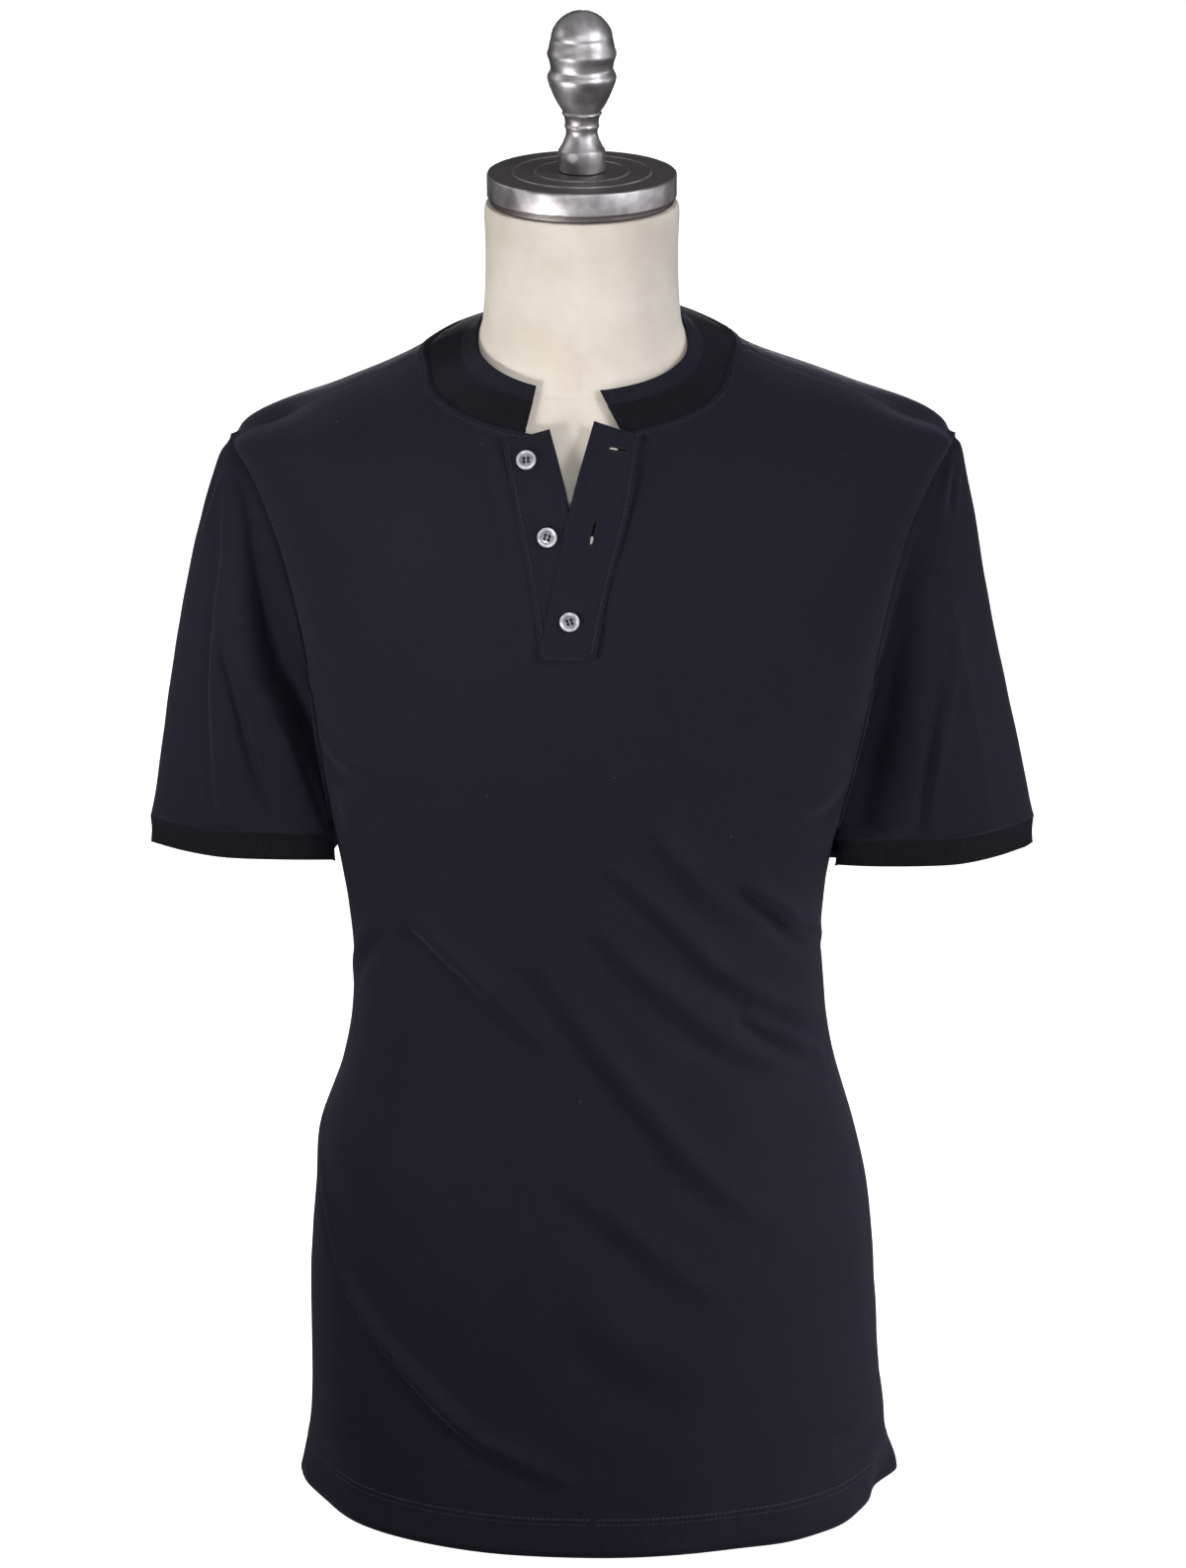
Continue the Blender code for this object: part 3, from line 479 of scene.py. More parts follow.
# Each fold is a path of (x, y, z) along its steep side, then the rise of its ridge, the depth
# of its trough and its width. The trough is on the right of the path, seen from outside.
FRONT_FOLDS = (
    (((28, -115, 468), (36, -114, 457), (56, -108, 432), (75, -99, 408), (104, -84, 388)),
     2.9, 2.6, 7.0),
    (((88, -94, 426), (97, -90, 416), (111, -77, 400), (125, -59, 382), (146, -14, 358)),
     5.8, 6.0, 5.0),
    (((6, -114, 446), (16, -113, 431), (45, -107, 402), (71, -96, 370), (103, -78, 342),
      (128, -53, 322), (148, -14, 302)), 4.7, 4.4, 6.5),
    (((-10, -112, 416), (-1, -111, 401), (23, -109, 372), (50, -104, 347), (76, -96, 323),
      (103, -82, 304), (132, -50, 290)), 3.9, 3.4, 8.0),
    (((88, -88, 342), (98, -82, 331), (121, -65, 311), (142, -34, 290)), 4.8, 4.9, 5.0),
    (((-60, -106, 404), (-49, -107, 390), (-29, -108, 363), (-7, -108, 332), (15, -108, 300),
      (37, -108, 271), (59, -108, 245), (85, -104, 220), (118, -94, 194)), 4.1, 3.3, 9.0),
    (((-112, -83, 398), (-102, -88, 389), (-77, -98, 368), (-55, -103, 345),
      (-20, -108, 314)), 4.8, 3.9, 7.5),
    (((-148, -14, 330), (-142, -33, 353), (-133, -55, 377), (-121, -73, 391),
      (-96, -90, 390)), 2.6, 2.2, 5.5),
    (((-26, -114, 248), (-14, -114, 233), (6, -116, 216), (28, -117, 197), (50, -117, 178),
      (80, -114, 156)), 3.2, 2.1, 9.5),
    (((-14, -124, 180), (-7, -124, 161), (6, -125, 136), (28, -125, 119), (66, -120, 110)),
     1.6, 2.9, 15.0),
    (((-172, -8, 222), (-164, -36, 202), (-153, -64, 160), (-133, -85, 130), (-106, -103, 102),
      (-74, -119, 75), (-47, -128, 62), (-4, -134, 44)), 6.8, 4.7, 6.0),
    (((148, -80, 62), (157, -72, 59), (169, -52, 57), (180, -20, 50)), 1.9, 3.4, 6.0),
    (((-146, -56, 450), (-143, -65, 459), (-129, -84, 476), (-104, -103, 494)), 2.9, 2.1, 8.0),
    (((-164, -40, 498), (-150, -68, 488), (-118, -94, 492)), 2.9, 2.1, 8.0),
    (((110, -92, 478), (140, -72, 462), (160, -40, 470)), 2.2, 2.1, 9.0),
    (((120, -92, 268), (150, -62, 256), (172, -10, 246)), 1.4, 1.2, 14.0),
    (((66, -84, 704), (50, -90, 694), (38, -98, 682), (26, -106, 660), (18, -114, 620)),
     1.6, 2.2, 4.5),
    (((-66, -84, 704), (-60, -90, 690), (-53, -99, 664), (-46, -108, 636), (-38, -118, 590)),
     1.4, 1.6, 4.5),
)
BACK_FOLDS = (
    (((10, 108, 318), (48, 104, 330), (100, 88, 350), (150, 20, 364)), 3.6, 4.5, 9.0),
    (((30, 106, 292), (104, 84, 310), (150, 24, 330)), 3.0, 3.6, 10.0),
    (((-150, 24, 356), (-108, 80, 344), (-52, 104, 318), (10, 108, 296)), 3.9, 4.5, 10.0),
    (((-148, 30, 320), (-96, 88, 296), (-24, 110, 276)), 2.7, 3.8, 12.0),
    (((-152, 20, 382), (-112, 80, 394), (-60, 100, 412)), 2.4, 3.3, 9.0),
    (((60, 100, 424), (120, 74, 402), (152, 18, 390)), 2.4, 3.2, 10.0),
    (((70, 122, 66), (84, 114, 122), (120, 94, 176), (164, 28, 216)), 2.8, 3.0, 14.0),
    (((-164, 34, 204), (-128, 90, 160), (-96, 112, 112), (-80, 122, 54)), 3.0, 2.8, 13.0),
    (((-36, 128, 50), (-28, 124, 120), (-30, 120, 190), (-18, 116, 250)), 2.0, 2.0, 17.0),
    (((92, 106, 566), (140, 84, 532), (174, 36, 522)), 2.5, 3.0, 11.0),
    (((-174, 36, 518), (-146, 80, 522), (-100, 104, 552)), 2.4, 3.0, 12.0),
)
# Places that are drawn out or in, each with its shift and its reach.
PULLS = (
    ((187, 0, 6), (7, -1, 0), 17.0),
    ((180, 0, 34), (-2, 0, 0), 10.0),
    ((178, -34, 8), (-4, 2, 0), 16.0),
    ((148, -88, 8), (4, -3, 0), 24.0),
    ((118, -106, 8), (2, -5, 0), 26.0),
    ((-168, -52, 8), (4, 2, 0), 30.0),
    ((-176, 8, 235), (-3, 2, 0), 24.0),
    ((-152, 0, 352), (3, 0, 0), 12.0),
    ((150, 0, 362), (-2.5, 0, 0), 13.0),
    ((-210, -2, 682), (-3.5, 0, -5), 22.0),
    ((-187, -2, 694), (0, 0, -4.5), 19.0),
    ((210, -2, 684), (2, 0, -4.5), 22.0),
    ((187, -2, 696), (0, 0, -5), 19.0),
    ((262, 0, 560), (-3.5, 0, 0), 70.0),
)
# name, node, folds, flat width and length, flat area
PANELS = (
    ("front_cloth", "front_panel", FRONT_FOLDS, (0.514, 0.789), 0.329),
    ("back_cloth", "back_panel", BACK_FOLDS, (0.513, 0.794), 0.340),
)
NECK_MIDDLE = Vector((-5, -11))
NECK_SEAM = 2.5  # an edge this close to the collar's band is sewn to it


def is_seam(place):
    """Whether a place on a panel's edge is sewn, and not on the free hem."""
    return place.z > HEM_EDGE + HEM_LIFT


def is_neckline(place):
    """Whether a place on a panel's edge is where the collar is sewn."""
    return collar_seat.find_nearest(place * MM)[3] < NECK_SEAM * MM


sewn_edges = []  # corners of the coarse edges that later pieces are sewn to
finished_rims = []  # and places along the edges of the finished cloth


def tree_of(places):
    """A tree of places, to find the nearest one."""
    tree = kdtree.KDTree(len(places))
    for number, place in enumerate(places):
        tree.insert(place, number)
    tree.balance()
    return tree


def draw_onto(vertices, places, reach):
    """Move each vertex onto the nearest place, if that is within reach."""
    tree = tree_of(places)
    for vertex in vertices:
        place, _, away = tree.find(vertex.co)
        if place and away < reach * MM:
            vertex.co = place


def rows_of_quads(shape):
    """Join a sheet's triangles into quads, row by row from its lower edge up."""
    loops, left = [], dict.fromkeys(v for v in shape.verts if v.is_boundary)
    while left:
        loop = [left.popitem()[0]]
        for vertex in loop:
            for edge in vertex.link_edges:
                other = edge.other_vert(vertex)
                if edge.is_boundary and other in left:
                    del left[other]
                    loop.append(other)
        loops.append(loop)
    start = min(loops, key=lambda loop: sum(v.co.z for v in loop) / len(loop))
    if len(loops) == 1:
        start = [v for v in start if v.co.z < min(v.co.z for v in start) + MM]
    row = {vertex: 0 for vertex in start}
    for vertex in start:
        for edge in vertex.link_edges:
            other = edge.other_vert(vertex)
            if other not in row:
                row[other] = row[vertex] + 1
                start.append(other)
    rungs = {
        face: [edge for edge in face.edges if len({row[v] for v in edge.verts}) == 2]
        for face in shape.faces
    }
    joins, unseen = [], dict.fromkeys(shape.faces)
    while unseen:
        ends = (face for face in unseen if any(edge.is_boundary for edge in rungs[face]))
        face = next(ends, None) or next(iter(unseen))
        crossed = []
        while face:
            unseen.pop(face, None)
            ahead = [
                (edge, other) for edge in rungs[face] for other in edge.link_faces
                if other in unseen
            ]
            if not ahead:
                break
            edge, face = ahead[0]
            crossed.append(edge)
        choices = [crossed[0::2]]
        if len(crossed) % 2 == 1 and not any(e.is_boundary for e in rungs[face]):
            choices.append(crossed[1::2] + [e for e in rungs[face] if e not in crossed])
        joins += max(choices, key=lambda edges: sum(edge.calc_length() for edge in edges))
    bmesh.ops.dissolve_edges(shape, edges=joins, use_verts=False)


def outer_sheet(node, wall=WALL, gridded=True):
    """The outer face of a node's wall of cloth, as a grid of quads."""
    shape = merged_copy(node)
    rims = [
        face for face in shape.faces
        if any(abs(edge.calc_length() / MM - wall) < 0.01 for edge in face.edges)
    ]
    bmesh.ops.delete(shape, geom=rims, context="FACES")
    left = dict.fromkeys(shape.faces)
    sheets = []
    while left:
        sheet = [left.popitem()[0]]
        for face in sheet:
            for near in (f for edge in face.edges for f in edge.link_faces if f in left):
                del left[near]
                sheet.append(near)
        sheets.append(sheet)
    sheets.sort(key=lambda sheet: sum(f.calc_area() for f in sheet))
    for sheet in sheets[:-1]:
        bmesh.ops.delete(shape, geom=sheet, context="FACES")
    if gridded:
        rows_of_quads(shape)
    else:
        join_quads(shape)
    return shape


def sew_edges(shape):
    """Bring open edges onto the edges already sewn, and keep their sharp corners."""
    sharp = shape.verts.layers.float.new("crease_vert")
    rim = [v for v in shape.verts if v.is_boundary]
    draw_onto(rim, sewn_edges, SEAM_REACH)
    sewn_edges.extend(vertex.co.copy() for vertex in rim)
    for vertex in rim:
        ways = [
            (edge.other_vert(vertex).co - vertex.co).normalized()
            for edge in vertex.link_edges if edge.is_boundary
        ]
        if len(ways) == 2 and ways[0].angle(-ways[1]) > SHARP_TURN:
            vertex[sharp] = 1.0


def reach_out(shape):
    """Move a sheet's points out, so that once smoothed it lies nearly where they were."""
    goals = {vertex: vertex.co.copy() for vertex in shape.verts}
    sharp = shape.verts.layers.float.get("crease_vert")
    for _ in range(REACH_ROUNDS):
        smoothed = {}
        for vertex, goal in goals.items():
            if vertex.is_boundary:
                ends = [e.other_vert(vertex).co for e in vertex.link_edges if e.is_boundary]
                smoothed[vertex] = (4 * vertex.co + sum(ends, Vector())) / 6
                if (sharp and vertex[sharp]) or len(vertex.link_faces) == 1:
                    smoothed[vertex] = vertex.co.copy()
            else:
                near = [edge.other_vert(vertex) for edge in vertex.link_edges]
                far = [
                    corner.co for face in vertex.link_faces for corner in face.verts
                    if corner is not vertex and corner not in near
                ]
                count = len(near)
                smoothed[vertex] = (
                    count**2 * vertex.co + 4 * sum((v.co for v in near), Vector())
                    + sum(far, Vector())
                ) / (count**2 + 5 * count)
        for vertex, goal in goals.items():
            vertex.co += (goal - smoothed[vertex]) * REACH_SHARE


def flat_corners(mesh):
    """Where each corner of each face lies in the flat cut."""
    flat = np.empty(len(mesh.loops) * 2)
    mesh.uv_layers["cut"].uv.foreach_get("vector", flat)
    return flat.reshape(-1, 2)


def lay_flat(piece):
    """Unwrap a sheet into its flat cut, in metres, with the grain upwards."""
    select_only(piece)
    mesh = piece.data
    mesh.uv_layers.new(name="cut")
    bpy.ops.object.mode_set(mode="EDIT")
    bpy.ops.mesh.select_all(action="SELECT")
    bpy.ops.uv.unwrap(method="ANGLE_BASED", margin=0.0)
    bpy.ops.object.mode_set(mode="OBJECT")
    flat = flat_corners(mesh)
    corner = np.empty(len(mesh.loops), dtype=np.int64)
    mesh.loops.foreach_get("vertex_index", corner)
    heights = (points_of(piece)[0] * MM)[corner, 2]
    flat_area = 0.0
    for face in mesh.polygons:
        ring = flat[list(face.loop_indices)]
        after = np.roll(ring, -1, axis=0)
        flat_area += abs((ring[:, 0] * after[:, 1] - ring[:, 1] * after[:, 0]).sum()) / 2
    solid_area = sum(face.area for face in mesh.polygons)
    flat = (flat - flat.mean(axis=0)) * math.sqrt(solid_area / flat_area)
    rise = np.linalg.lstsq(flat, heights - heights.mean(), rcond=None)[0]
    turn = math.atan2(rise[0], rise[1])
    across = flat[:, 0] * math.cos(turn) - flat[:, 1] * math.sin(turn)
    upward = flat[:, 0] * math.sin(turn) + flat[:, 1] * math.cos(turn)
    flat = np.stack([across - across.min(), upward - upward.min()], axis=1)
    mesh.uv_layers["cut"].uv.foreach_set("vector", flat.ravel())


def near_edges(piece, keep=lambda place: True):
    """How far each vertex is from the sheet's open edges, in millimetres."""
    shape = bmesh.new()
    shape.from_mesh(piece.data)
    tree = tree_of([v.co / MM for v in shape.verts if v.is_boundary and keep(v.co / MM)])
    away = np.array([tree.find(vertex.co / MM)[2] for vertex in shape.verts])
    shape.free()
    return away


def smooth_path(path, samples=70):
    """Points along a smooth curve through a few places."""
    first, last = 2 * Vector(path[0]) - Vector(path[1]), 2 * Vector(path[-1]) - Vector(path[-2])
    ends = np.array([first, *path, last], dtype=float)
    line = []
    for share in np.linspace(0, len(path) - 1.0001, samples):
        k, t = int(share), share % 1
        a, b, c, d = ends[k:k + 4]
        line.append(0.5 * (
            2 * b + (c - a) * t + (2 * a - 5 * b + 4 * c - d) * t**2
            + (3 * b - a - 3 * c + d) * t**3
        ))
    return np.array(line)


def press_folds(piece, folds, held):
    """Raise a ridge and press a trough beside it along each fold, fading at its ends.

    A fold without a trough is a pressed edge, from which the cloth slopes away on both sides.
    The cloth gives way by less where it is held, which is 0 at a seam and 1 in the open.
    """
    places, normals = points_of(piece)
    shift = np.zeros(len(places))
    for path, rise, dip, width in folds:
        line = smooth_path(path)
        run = np.gradient(line, axis=0)
        run /= np.linalg.norm(run, axis=1)[:, None]
        tree = tree_of(line)
        low, high = line.min(axis=0) - 4 * width, line.max(axis=0) + 4 * width
        near = np.flatnonzero(np.all((places > low) & (places < high), axis=1))
        nearest = np.array([tree.find(places[k])[1] for k in near], dtype=np.int64)
        away = places[near] - line[nearest]
        right = np.cross(run[nearest], normals[near])
        across = (away * right).sum(axis=1) / width
        beyond = (away * run[nearest]).sum(axis=1) / width
        depth = np.abs((away * normals[near]).sum(axis=1))
        fade = np.sin(np.pi * nearest / (len(line) - 1)) ** FOLD_END * np.exp(-beyond**2)
        fade *= np.clip((FOLD_REACH - depth) / FOLD_FADE, 0, 1)
        if dip is None:
            shift[near] += rise * np.exp(-np.sqrt(across**2 + PRESSED_ROUND)) * fade
            continue
        ridge = rise * np.exp(-((across + FOLD_APART) ** 2))
        trough = dip * np.exp(-((across - FOLD_APART) ** 2))
        shift[near] += (ridge - trough) * fade
    set_points(piece, places + normals * (shift * held)[:, None])


def soften(piece, height):
    """Give a sheet the shallow unevenness of worn knit, which runs on across the seams.

    It is a sum of waves in chance directions, the long ones higher than the short ones.
    """
    places, normals = points_of(piece)
    chance = np.random.default_rng(11)
    shift = np.zeros(len(places))
    for length in UNEVEN_LENGTHS:
        for _ in range(3):
            way = chance.normal(size=3)
            way /= np.linalg.norm(way)
            phase = chance.uniform(0, 2 * math.pi)
            shift += length * np.sin(places @ way * 2 * math.pi / length + phase)
    shift *= height / UNEVEN_SUM
    set_points(piece, places + normals * shift[:, None])


def dip_at(piece, away, depth, width):
    """Press a sheet in where it is near something, such as a seam."""
    places, normals = points_of(piece)
    set_points(piece, places - normals * (depth * np.exp(-((away / width) ** 2)))[:, None])


def pull(piece):
    """Draw the cloth out or in where its own weight and the pins behind it do."""
    places, _ = points_of(piece)
    for place, shift, reach in PULLS:
        away = np.linalg.norm(places - np.array(place), axis=1)
        places = places + np.array(shift) * np.exp(-((away / reach) ** 2))[:, None]
    set_points(piece, places)


def surface_of(*pieces):
    """A tree of the faces of finished pieces, to find places on them."""
    corners, faces = [], []
    for piece in pieces:
        start = len(corners)
        corners += [vertex.co.copy() for vertex in piece.data.vertices]
        faces += [[start + k for k in face.vertices] for face in piece.data.polygons]
    return BVHTree.FromPolygons(corners, faces)


def refine(piece, chosen):
    """Cut a sheet's faces finer where its vertices are chosen."""
    shape = bmesh.new()
    shape.from_mesh(piece.data)
    edges = [edge for edge in shape.edges if all(chosen[v.index] for v in edge.verts)]
    bmesh.ops.subdivide_edges(shape, edges=edges, cuts=1, use_grid_fill=True)
    shape.to_mesh(piece.data)
    shape.free()


def meet_rims(piece):
    """Bring a sheet's open edges onto the finished edges that they are sewn to."""
    shape = bmesh.new()
    shape.from_mesh(piece.data)
    draw_onto([v for v in shape.verts if v.is_boundary], finished_rims, RIM_REACH)
    for edge in shape.edges:
        if edge.is_boundary:
            start, end = (vertex.co.copy() for vertex in edge.verts)
            finished_rims.extend(start.lerp(end, share) for share in (0, 0.25, 0.5, 0.75, 1))
    shape.to_mesh(piece.data)
    shape.free()


# Navy pique, garment-dyed: a small diamond lattice of raised yarn, painted darker in its low
# places as shade, with a soft bloom at a glancing angle and here and there a speck of lint.
pique = new_material("navy cotton pique knit")
cut_place = add_node(pique, "ShaderNodeUVMap", uv_map="cut")
turned = add_node(pique, "ShaderNodeMapping", {
    "Vector": cut_place.outputs[0], "Rotation": (0, 0, math.radians(45)),
})
ribs = [
    add_node(pique, "ShaderNodeTexWave", {
        "Vector": turned.outputs[0], "Scale": WAVE_TURN / (PIQUE_CELL * MM),
        "Distortion": 0.8, "Detail": 1.0, "Detail Scale": 2.0,
    }, bands_direction=way)
    for way in "XY"
]
lattice = add_node(pique, "ShaderNodeMath", {
    0: ribs[0].outputs["Fac"], 1: ribs[1].outputs["Fac"],
}, operation="MULTIPLY")
fibres = add_node(pique, "ShaderNodeTexNoise", {
    "Vector": cut_place.outputs[0], "Scale": 1 / (FIBRE * MM), "Detail": 3.0,
})
yarn_height = add_node(pique, "ShaderNodeMath", {
    0: fibres.outputs[0], 1: 0.6, 2: lattice.outputs[0],
}, operation="MULTIPLY_ADD")
# The ramp paints the lattice's low places darker as shade; the fibre noise adds the yarn's own
# uneven tone.
dyed_and_shaded = add_node(
    pique, "ShaderNodeValToRGB", {"Fac": yarn_height.outputs[0]},
    ramp=((0.25, NAVY_LOW_SHADE), (1.0, NAVY)),
)
lint = add_node(pique, "ShaderNodeTexVoronoi", {
    "Vector": cut_place.outputs[0], "Scale": 1 / (LINT_SPACING * MM),
})
lint_spot = add_node(pique, "ShaderNodeMapRange", {
    "Value": lint.outputs["Distance"], "From Min": LINT_SPECK[0], "From Max": LINT_SPECK[1],
    "To Min": 1.0, "To Max": 0.0,
})
MIX_FACTOR, MIX_FIRST, MIX_SECOND, MIX_RESULT = 0, 6, 7, 2  # the colour sockets of a Mix node
linted = add_node(pique, "ShaderNodeMix", {
    MIX_FACTOR: lint_spot.outputs[0], MIX_FIRST: dyed_and_shaded.outputs[0], MIX_SECOND: colour(LINT),
}, data_type="RGBA")
patches = add_node(pique, "ShaderNodeTexNoise", {
    "Vector": cut_place.outputs[0], "Scale": 1 / (WEAR_PATCH * MM), "Detail": 4.0,
})
worn = add_node(pique, "ShaderNodeMapRange", {
    "Value": patches.outputs[0], "To Min": 0.78, "To Max": 0.92,
})
knit_bump = add_node(pique, "ShaderNodeBump", {
    "Strength": 0.45, "Distance": 0.0005, "Height": yarn_height.outputs[0],
})
pique_shader = add_node(pique, "ShaderNodeBsdfPrincipled", {
    "Base Color": linted.outputs[MIX_RESULT], "Roughness": worn.outputs[0],
    "Specular IOR Level": 0.14, "Sheen Weight": 0.16, "Sheen Roughness": 0.38,
    "Sheen Tint": colour(KNIT_SHEEN), "Normal": knit_bump.outputs[0],
})
add_node(pique, "ShaderNodeOutputMaterial", {"Surface": pique_shader.outputs[0]})

collar_seat = BVHTree.FromBMesh(merged_copy("collar_band"))
cloths = {}
for name, node, folds, flat_size, flat_area in PANELS:
    shape = outer_sheet(node)
    sew_edges(shape)
    reach_out(shape)
    cloth = cloths[name] = object_from(name, shape)
    lay_flat(cloth)
    subdivide(cloth, PANEL_SMOOTHING, boundary_smooth="PRESERVE_CORNERS")
    seams = near_edges(cloth, is_seam)
    press_folds(cloth, folds, 1 - np.exp(-((seams / SEAM_HOLD) ** 2)))
    soften(cloth, UNEVENNESS)
    above_hem = points_of(cloth)[0][:, 2] - HEM_EDGE - HEM_TURNING
    refine(cloth, (seams < FINE_REACH) | (np.abs(above_hem) < FINE_REACH))
    refine(cloth, near_edges(cloth, is_neckline) < NECK_BAND + NECK_FINE)
    away = near_edges(cloth, is_neckline)
    band = 0.5 - 0.5 * np.tanh((away - NECK_BAND) / NECK_BAND_EDGE)
    places, normals = points_of(cloth)
    set_points(cloth, places + normals * (NECK_BAND_RISE * band)[:, None])
    dip_at(cloth, away - NECK_BAND - NECK_GROOVE_AWAY, NECK_GROOVE, NECK_GROOVE_WIDTH)
    outer_seams = near_edges(cloth, lambda place: is_seam(place) and not is_neckline(place))
    dip_at(cloth, outer_seams, SEAM_DIP, SEAM_DIP_WIDTH)
    above_hem = points_of(cloth)[0][:, 2] - HEM_EDGE - HEM_TURNING
    below_rows = above_hem + HEM_STITCH_GAP + HEM_GROOVE_AWAY
    dip_at(cloth, below_rows, HEM_GROOVE, HEM_GROOVE_WIDTH)
    dip_at(cloth, above_hem - HEM_GROOVE_AWAY, UPPER_GROOVE, HEM_GROOVE_WIDTH)
    pull(cloth)
    meet_rims(cloth)
    apply_modifier(cloth, "SOLIDIFY", thickness=CLOTH_THICKNESS * MM, offset=-1.0)
    settle(cloth, node, pique)

# ---------------------------------------------------------------- Sleeves
# Set-in short sleeves of the same pique, each cut in one piece and closed by a seam under the
# arm. With no arm inside they hang from the shoulder, and the inner half of each falls back
# against the body.

SLEEVE_SMOOTHING = 4
# The lengthways edges nearer the body than this, and this near to y = 0, are the sleeve's seam.
UNDERARM_SEAM, UNDERARM_WIDTH = 205.0, 4.0
RIGHT_SLEEVE_FOLDS = (
    (((-213, -10, 684), (-217, -34, 620), (-221, -39, 575), (-223, -43, 529), (-221, -46, 449),
      (-219, -46, 400)), 4.2, None, 10.0),
    (((-219, -8, 672), (-222, -36, 610), (-224, -39, 565), (-226, -42, 528), (-225, -46, 470),
      (-222, -46, 420)), 1.0, 2.6, 3.5),
    (((-222, -40, 575), (-215, -47, 543), (-208, -49, 512), (-201, -49, 481), (-194, -48, 455),
      (-186, -46, 425)), 2.0, 4.6, 3.4),
    (((-219, -10, 660), (-225, -12, 640), (-231, -10, 618)), 1.2, 1.6, 3.5),
    (((-214, 48, 430), (-206, 50, 510), (-196, 44, 590), (-190, 30, 640)), 3.2, 3.8, 10.0),
    (((-244, 34, 428), (-234, 42, 500), (-222, 38, 580)), 2.2, 2.6, 8.0),
)
LEFT_SLEEVE_FOLDS = (
    (((245, -36, 420), (236, -37, 464), (225, -39, 527), (214, -38, 582), (206, -28, 650),
      (204, -18, 672)), 4.4, None, 9.5),
    (((221, -40, 575), (213, -46, 530), (205, -49, 484), (200, -48, 450), (197, -46, 420)),
     2.2, 4.4, 3.2),
    (((214, -18, 668), (209, -24, 656), (205, -30, 640)), 1.6, 2.4, 3.5),
    (((219, -14, 664), (216, -20, 648), (214, -26, 630)), 1.2, 1.8, 3.0),
    (((188, 34, 640), (196, 46, 580), (204, 50, 500), (208, 48, 420)), 3.0, 3.6, 10.0),
    (((226, 36, 590), (238, 40, 500), (250, 30, 416)), 2.0, 2.4, 8.0),
)
# Where the sleeve falls in beside the body: height, its inner and outer edge in x, how far
RIGHT_SLEEVE_HOLLOW = (
    (405, -152, -157, 9.0), (440, -154, -160, 14.0), (466, -157, -167, 17.0),
    (498, -162, -178, 18.0), (525, -167, -190, 18.0), (537, -170, -198, 18.0),
    (562, -177, -204, 16.0), (592, -184, -206, 11.0), (616, -190, -207, 6.5),
    (637, -196, -208, 3.0), (660, -203, -212, 0.0),
)
LEFT_SLEEVE_HOLLOW = (
    (405, 140, 166, 10.0), (443, 139, 180, 17.0), (467, 140, 186, 20.0),
    (498, 144, 193, 20.0), (530, 148, 199, 18.0), (562, 152, 204, 14.0),
    (592, 159, 208, 10.0), (616, 170, 210, 6.5), (637, 185, 210, 3.5),
    (658, 201, 210, 0.0),
)
SLEEVE_HOLD = 3.5  # folds and hollows fade over this distance from a seam
HOLLOW_CLEARANCE = 2.0  # kept between the sleeve and the body
# Where the hollow is deepest from its inner edge to its outer, and how wide it is to each side
HOLLOW_DEEPEST, HOLLOW_INNER, HOLLOW_OUTER = 0.6, 0.6, 0.36
HOLLOW_BACK = 0.5  # depth of the hollow at the back, as a share of the front's
HOLLOW_ROUND = 16.0  # the sleeve's front and back turn into its sides over this distance
# name, node, folds, hollow, flat width and length, flat area
SLEEVES = (
    ("right_sleeve_cloth", "sleeve_right", RIGHT_SLEEVE_FOLDS, RIGHT_SLEEVE_HOLLOW,
     (0.378, 0.250), 0.057),
    ("left_sleeve_cloth", "sleeve_left", LEFT_SLEEVE_FOLDS, LEFT_SLEEVE_HOLLOW,
     (0.384, 0.256), 0.058),
)


def sink_hollow(piece, hollow, held):
    """Let the front and back of a sleeve fall in beside the body, without touching it."""
    places, _ = points_of(piece)
    heights, inner, outer, depths = np.array(hollow, dtype=float).T
    near, far, depth = (
        np.interp(places[:, 2], heights, row) for row in (inner, outer, depths)
    )
    share = (places[:, 0] - near) / (far - near)
    reach = np.where(share > HOLLOW_DEEPEST, HOLLOW_OUTER, HOLLOW_INNER)
    shift = depth * np.exp(-(((share - HOLLOW_DEEPEST) / reach) ** 2))
    shift *= held * np.where(places[:, 1] < 0, 1.0, HOLLOW_BACK)
    shift *= np.abs(np.tanh(places[:, 1] / HOLLOW_ROUND))
    for number, (x, y, z) in enumerate(places):
        inwards = Vector((0, 1 if y < 0 else -1, 0))
        _, _, _, room = panel_surface.ray_cast(Vector((x, y, z)) * MM, inwards)
        if room is not None:
            shift[number] = min(shift[number], max(room / MM - HOLLOW_CLEARANCE, 0))
        places[number, 1] += shift[number] * inwards.y
    set_points(piece, places)


def mark_underarm(shape):
    """Mark the lengthways edges beside the body as the tube's seam."""
    for edge in shape.edges:
        ends = [vertex.co / MM for vertex in edge.verts]
        edge.seam = all(abs(end.y) < UNDERARM_WIDTH and abs(end.x) < UNDERARM_SEAM for end in ends)


neck_seam = [place / MM for place in finished_rims if is_neckline(place / MM)]
panel_surface = surface_of(cloths["front_cloth"], cloths["back_cloth"])
for name, node, folds, hollow, flat_size, flat_area in SLEEVES:
    shape = outer_sheet(node)
    sew_edges(shape)
    mark_underarm(shape)
    reach_out(shape)
    cloth = cloths[name] = object_from(name, shape)
    lay_flat(cloth)
    subdivide(cloth, SLEEVE_SMOOTHING, boundary_smooth="PRESERVE_CORNERS")
    seams = near_edges(cloth)
    held = 1 - np.exp(-((seams / SLEEVE_HOLD) ** 2))
    sink_hollow(cloth, hollow, held)
    press_folds(cloth, folds, held)
    soften(cloth, UNEVENNESS)
    dip_at(cloth, seams, SEAM_DIP, SEAM_DIP_WIDTH)
    pull(cloth)
    meet_rims(cloth)
    apply_modifier(cloth, "SOLIDIFY", thickness=CLOTH_THICKNESS * MM, offset=-1.0)
    settle(cloth, node, pique)
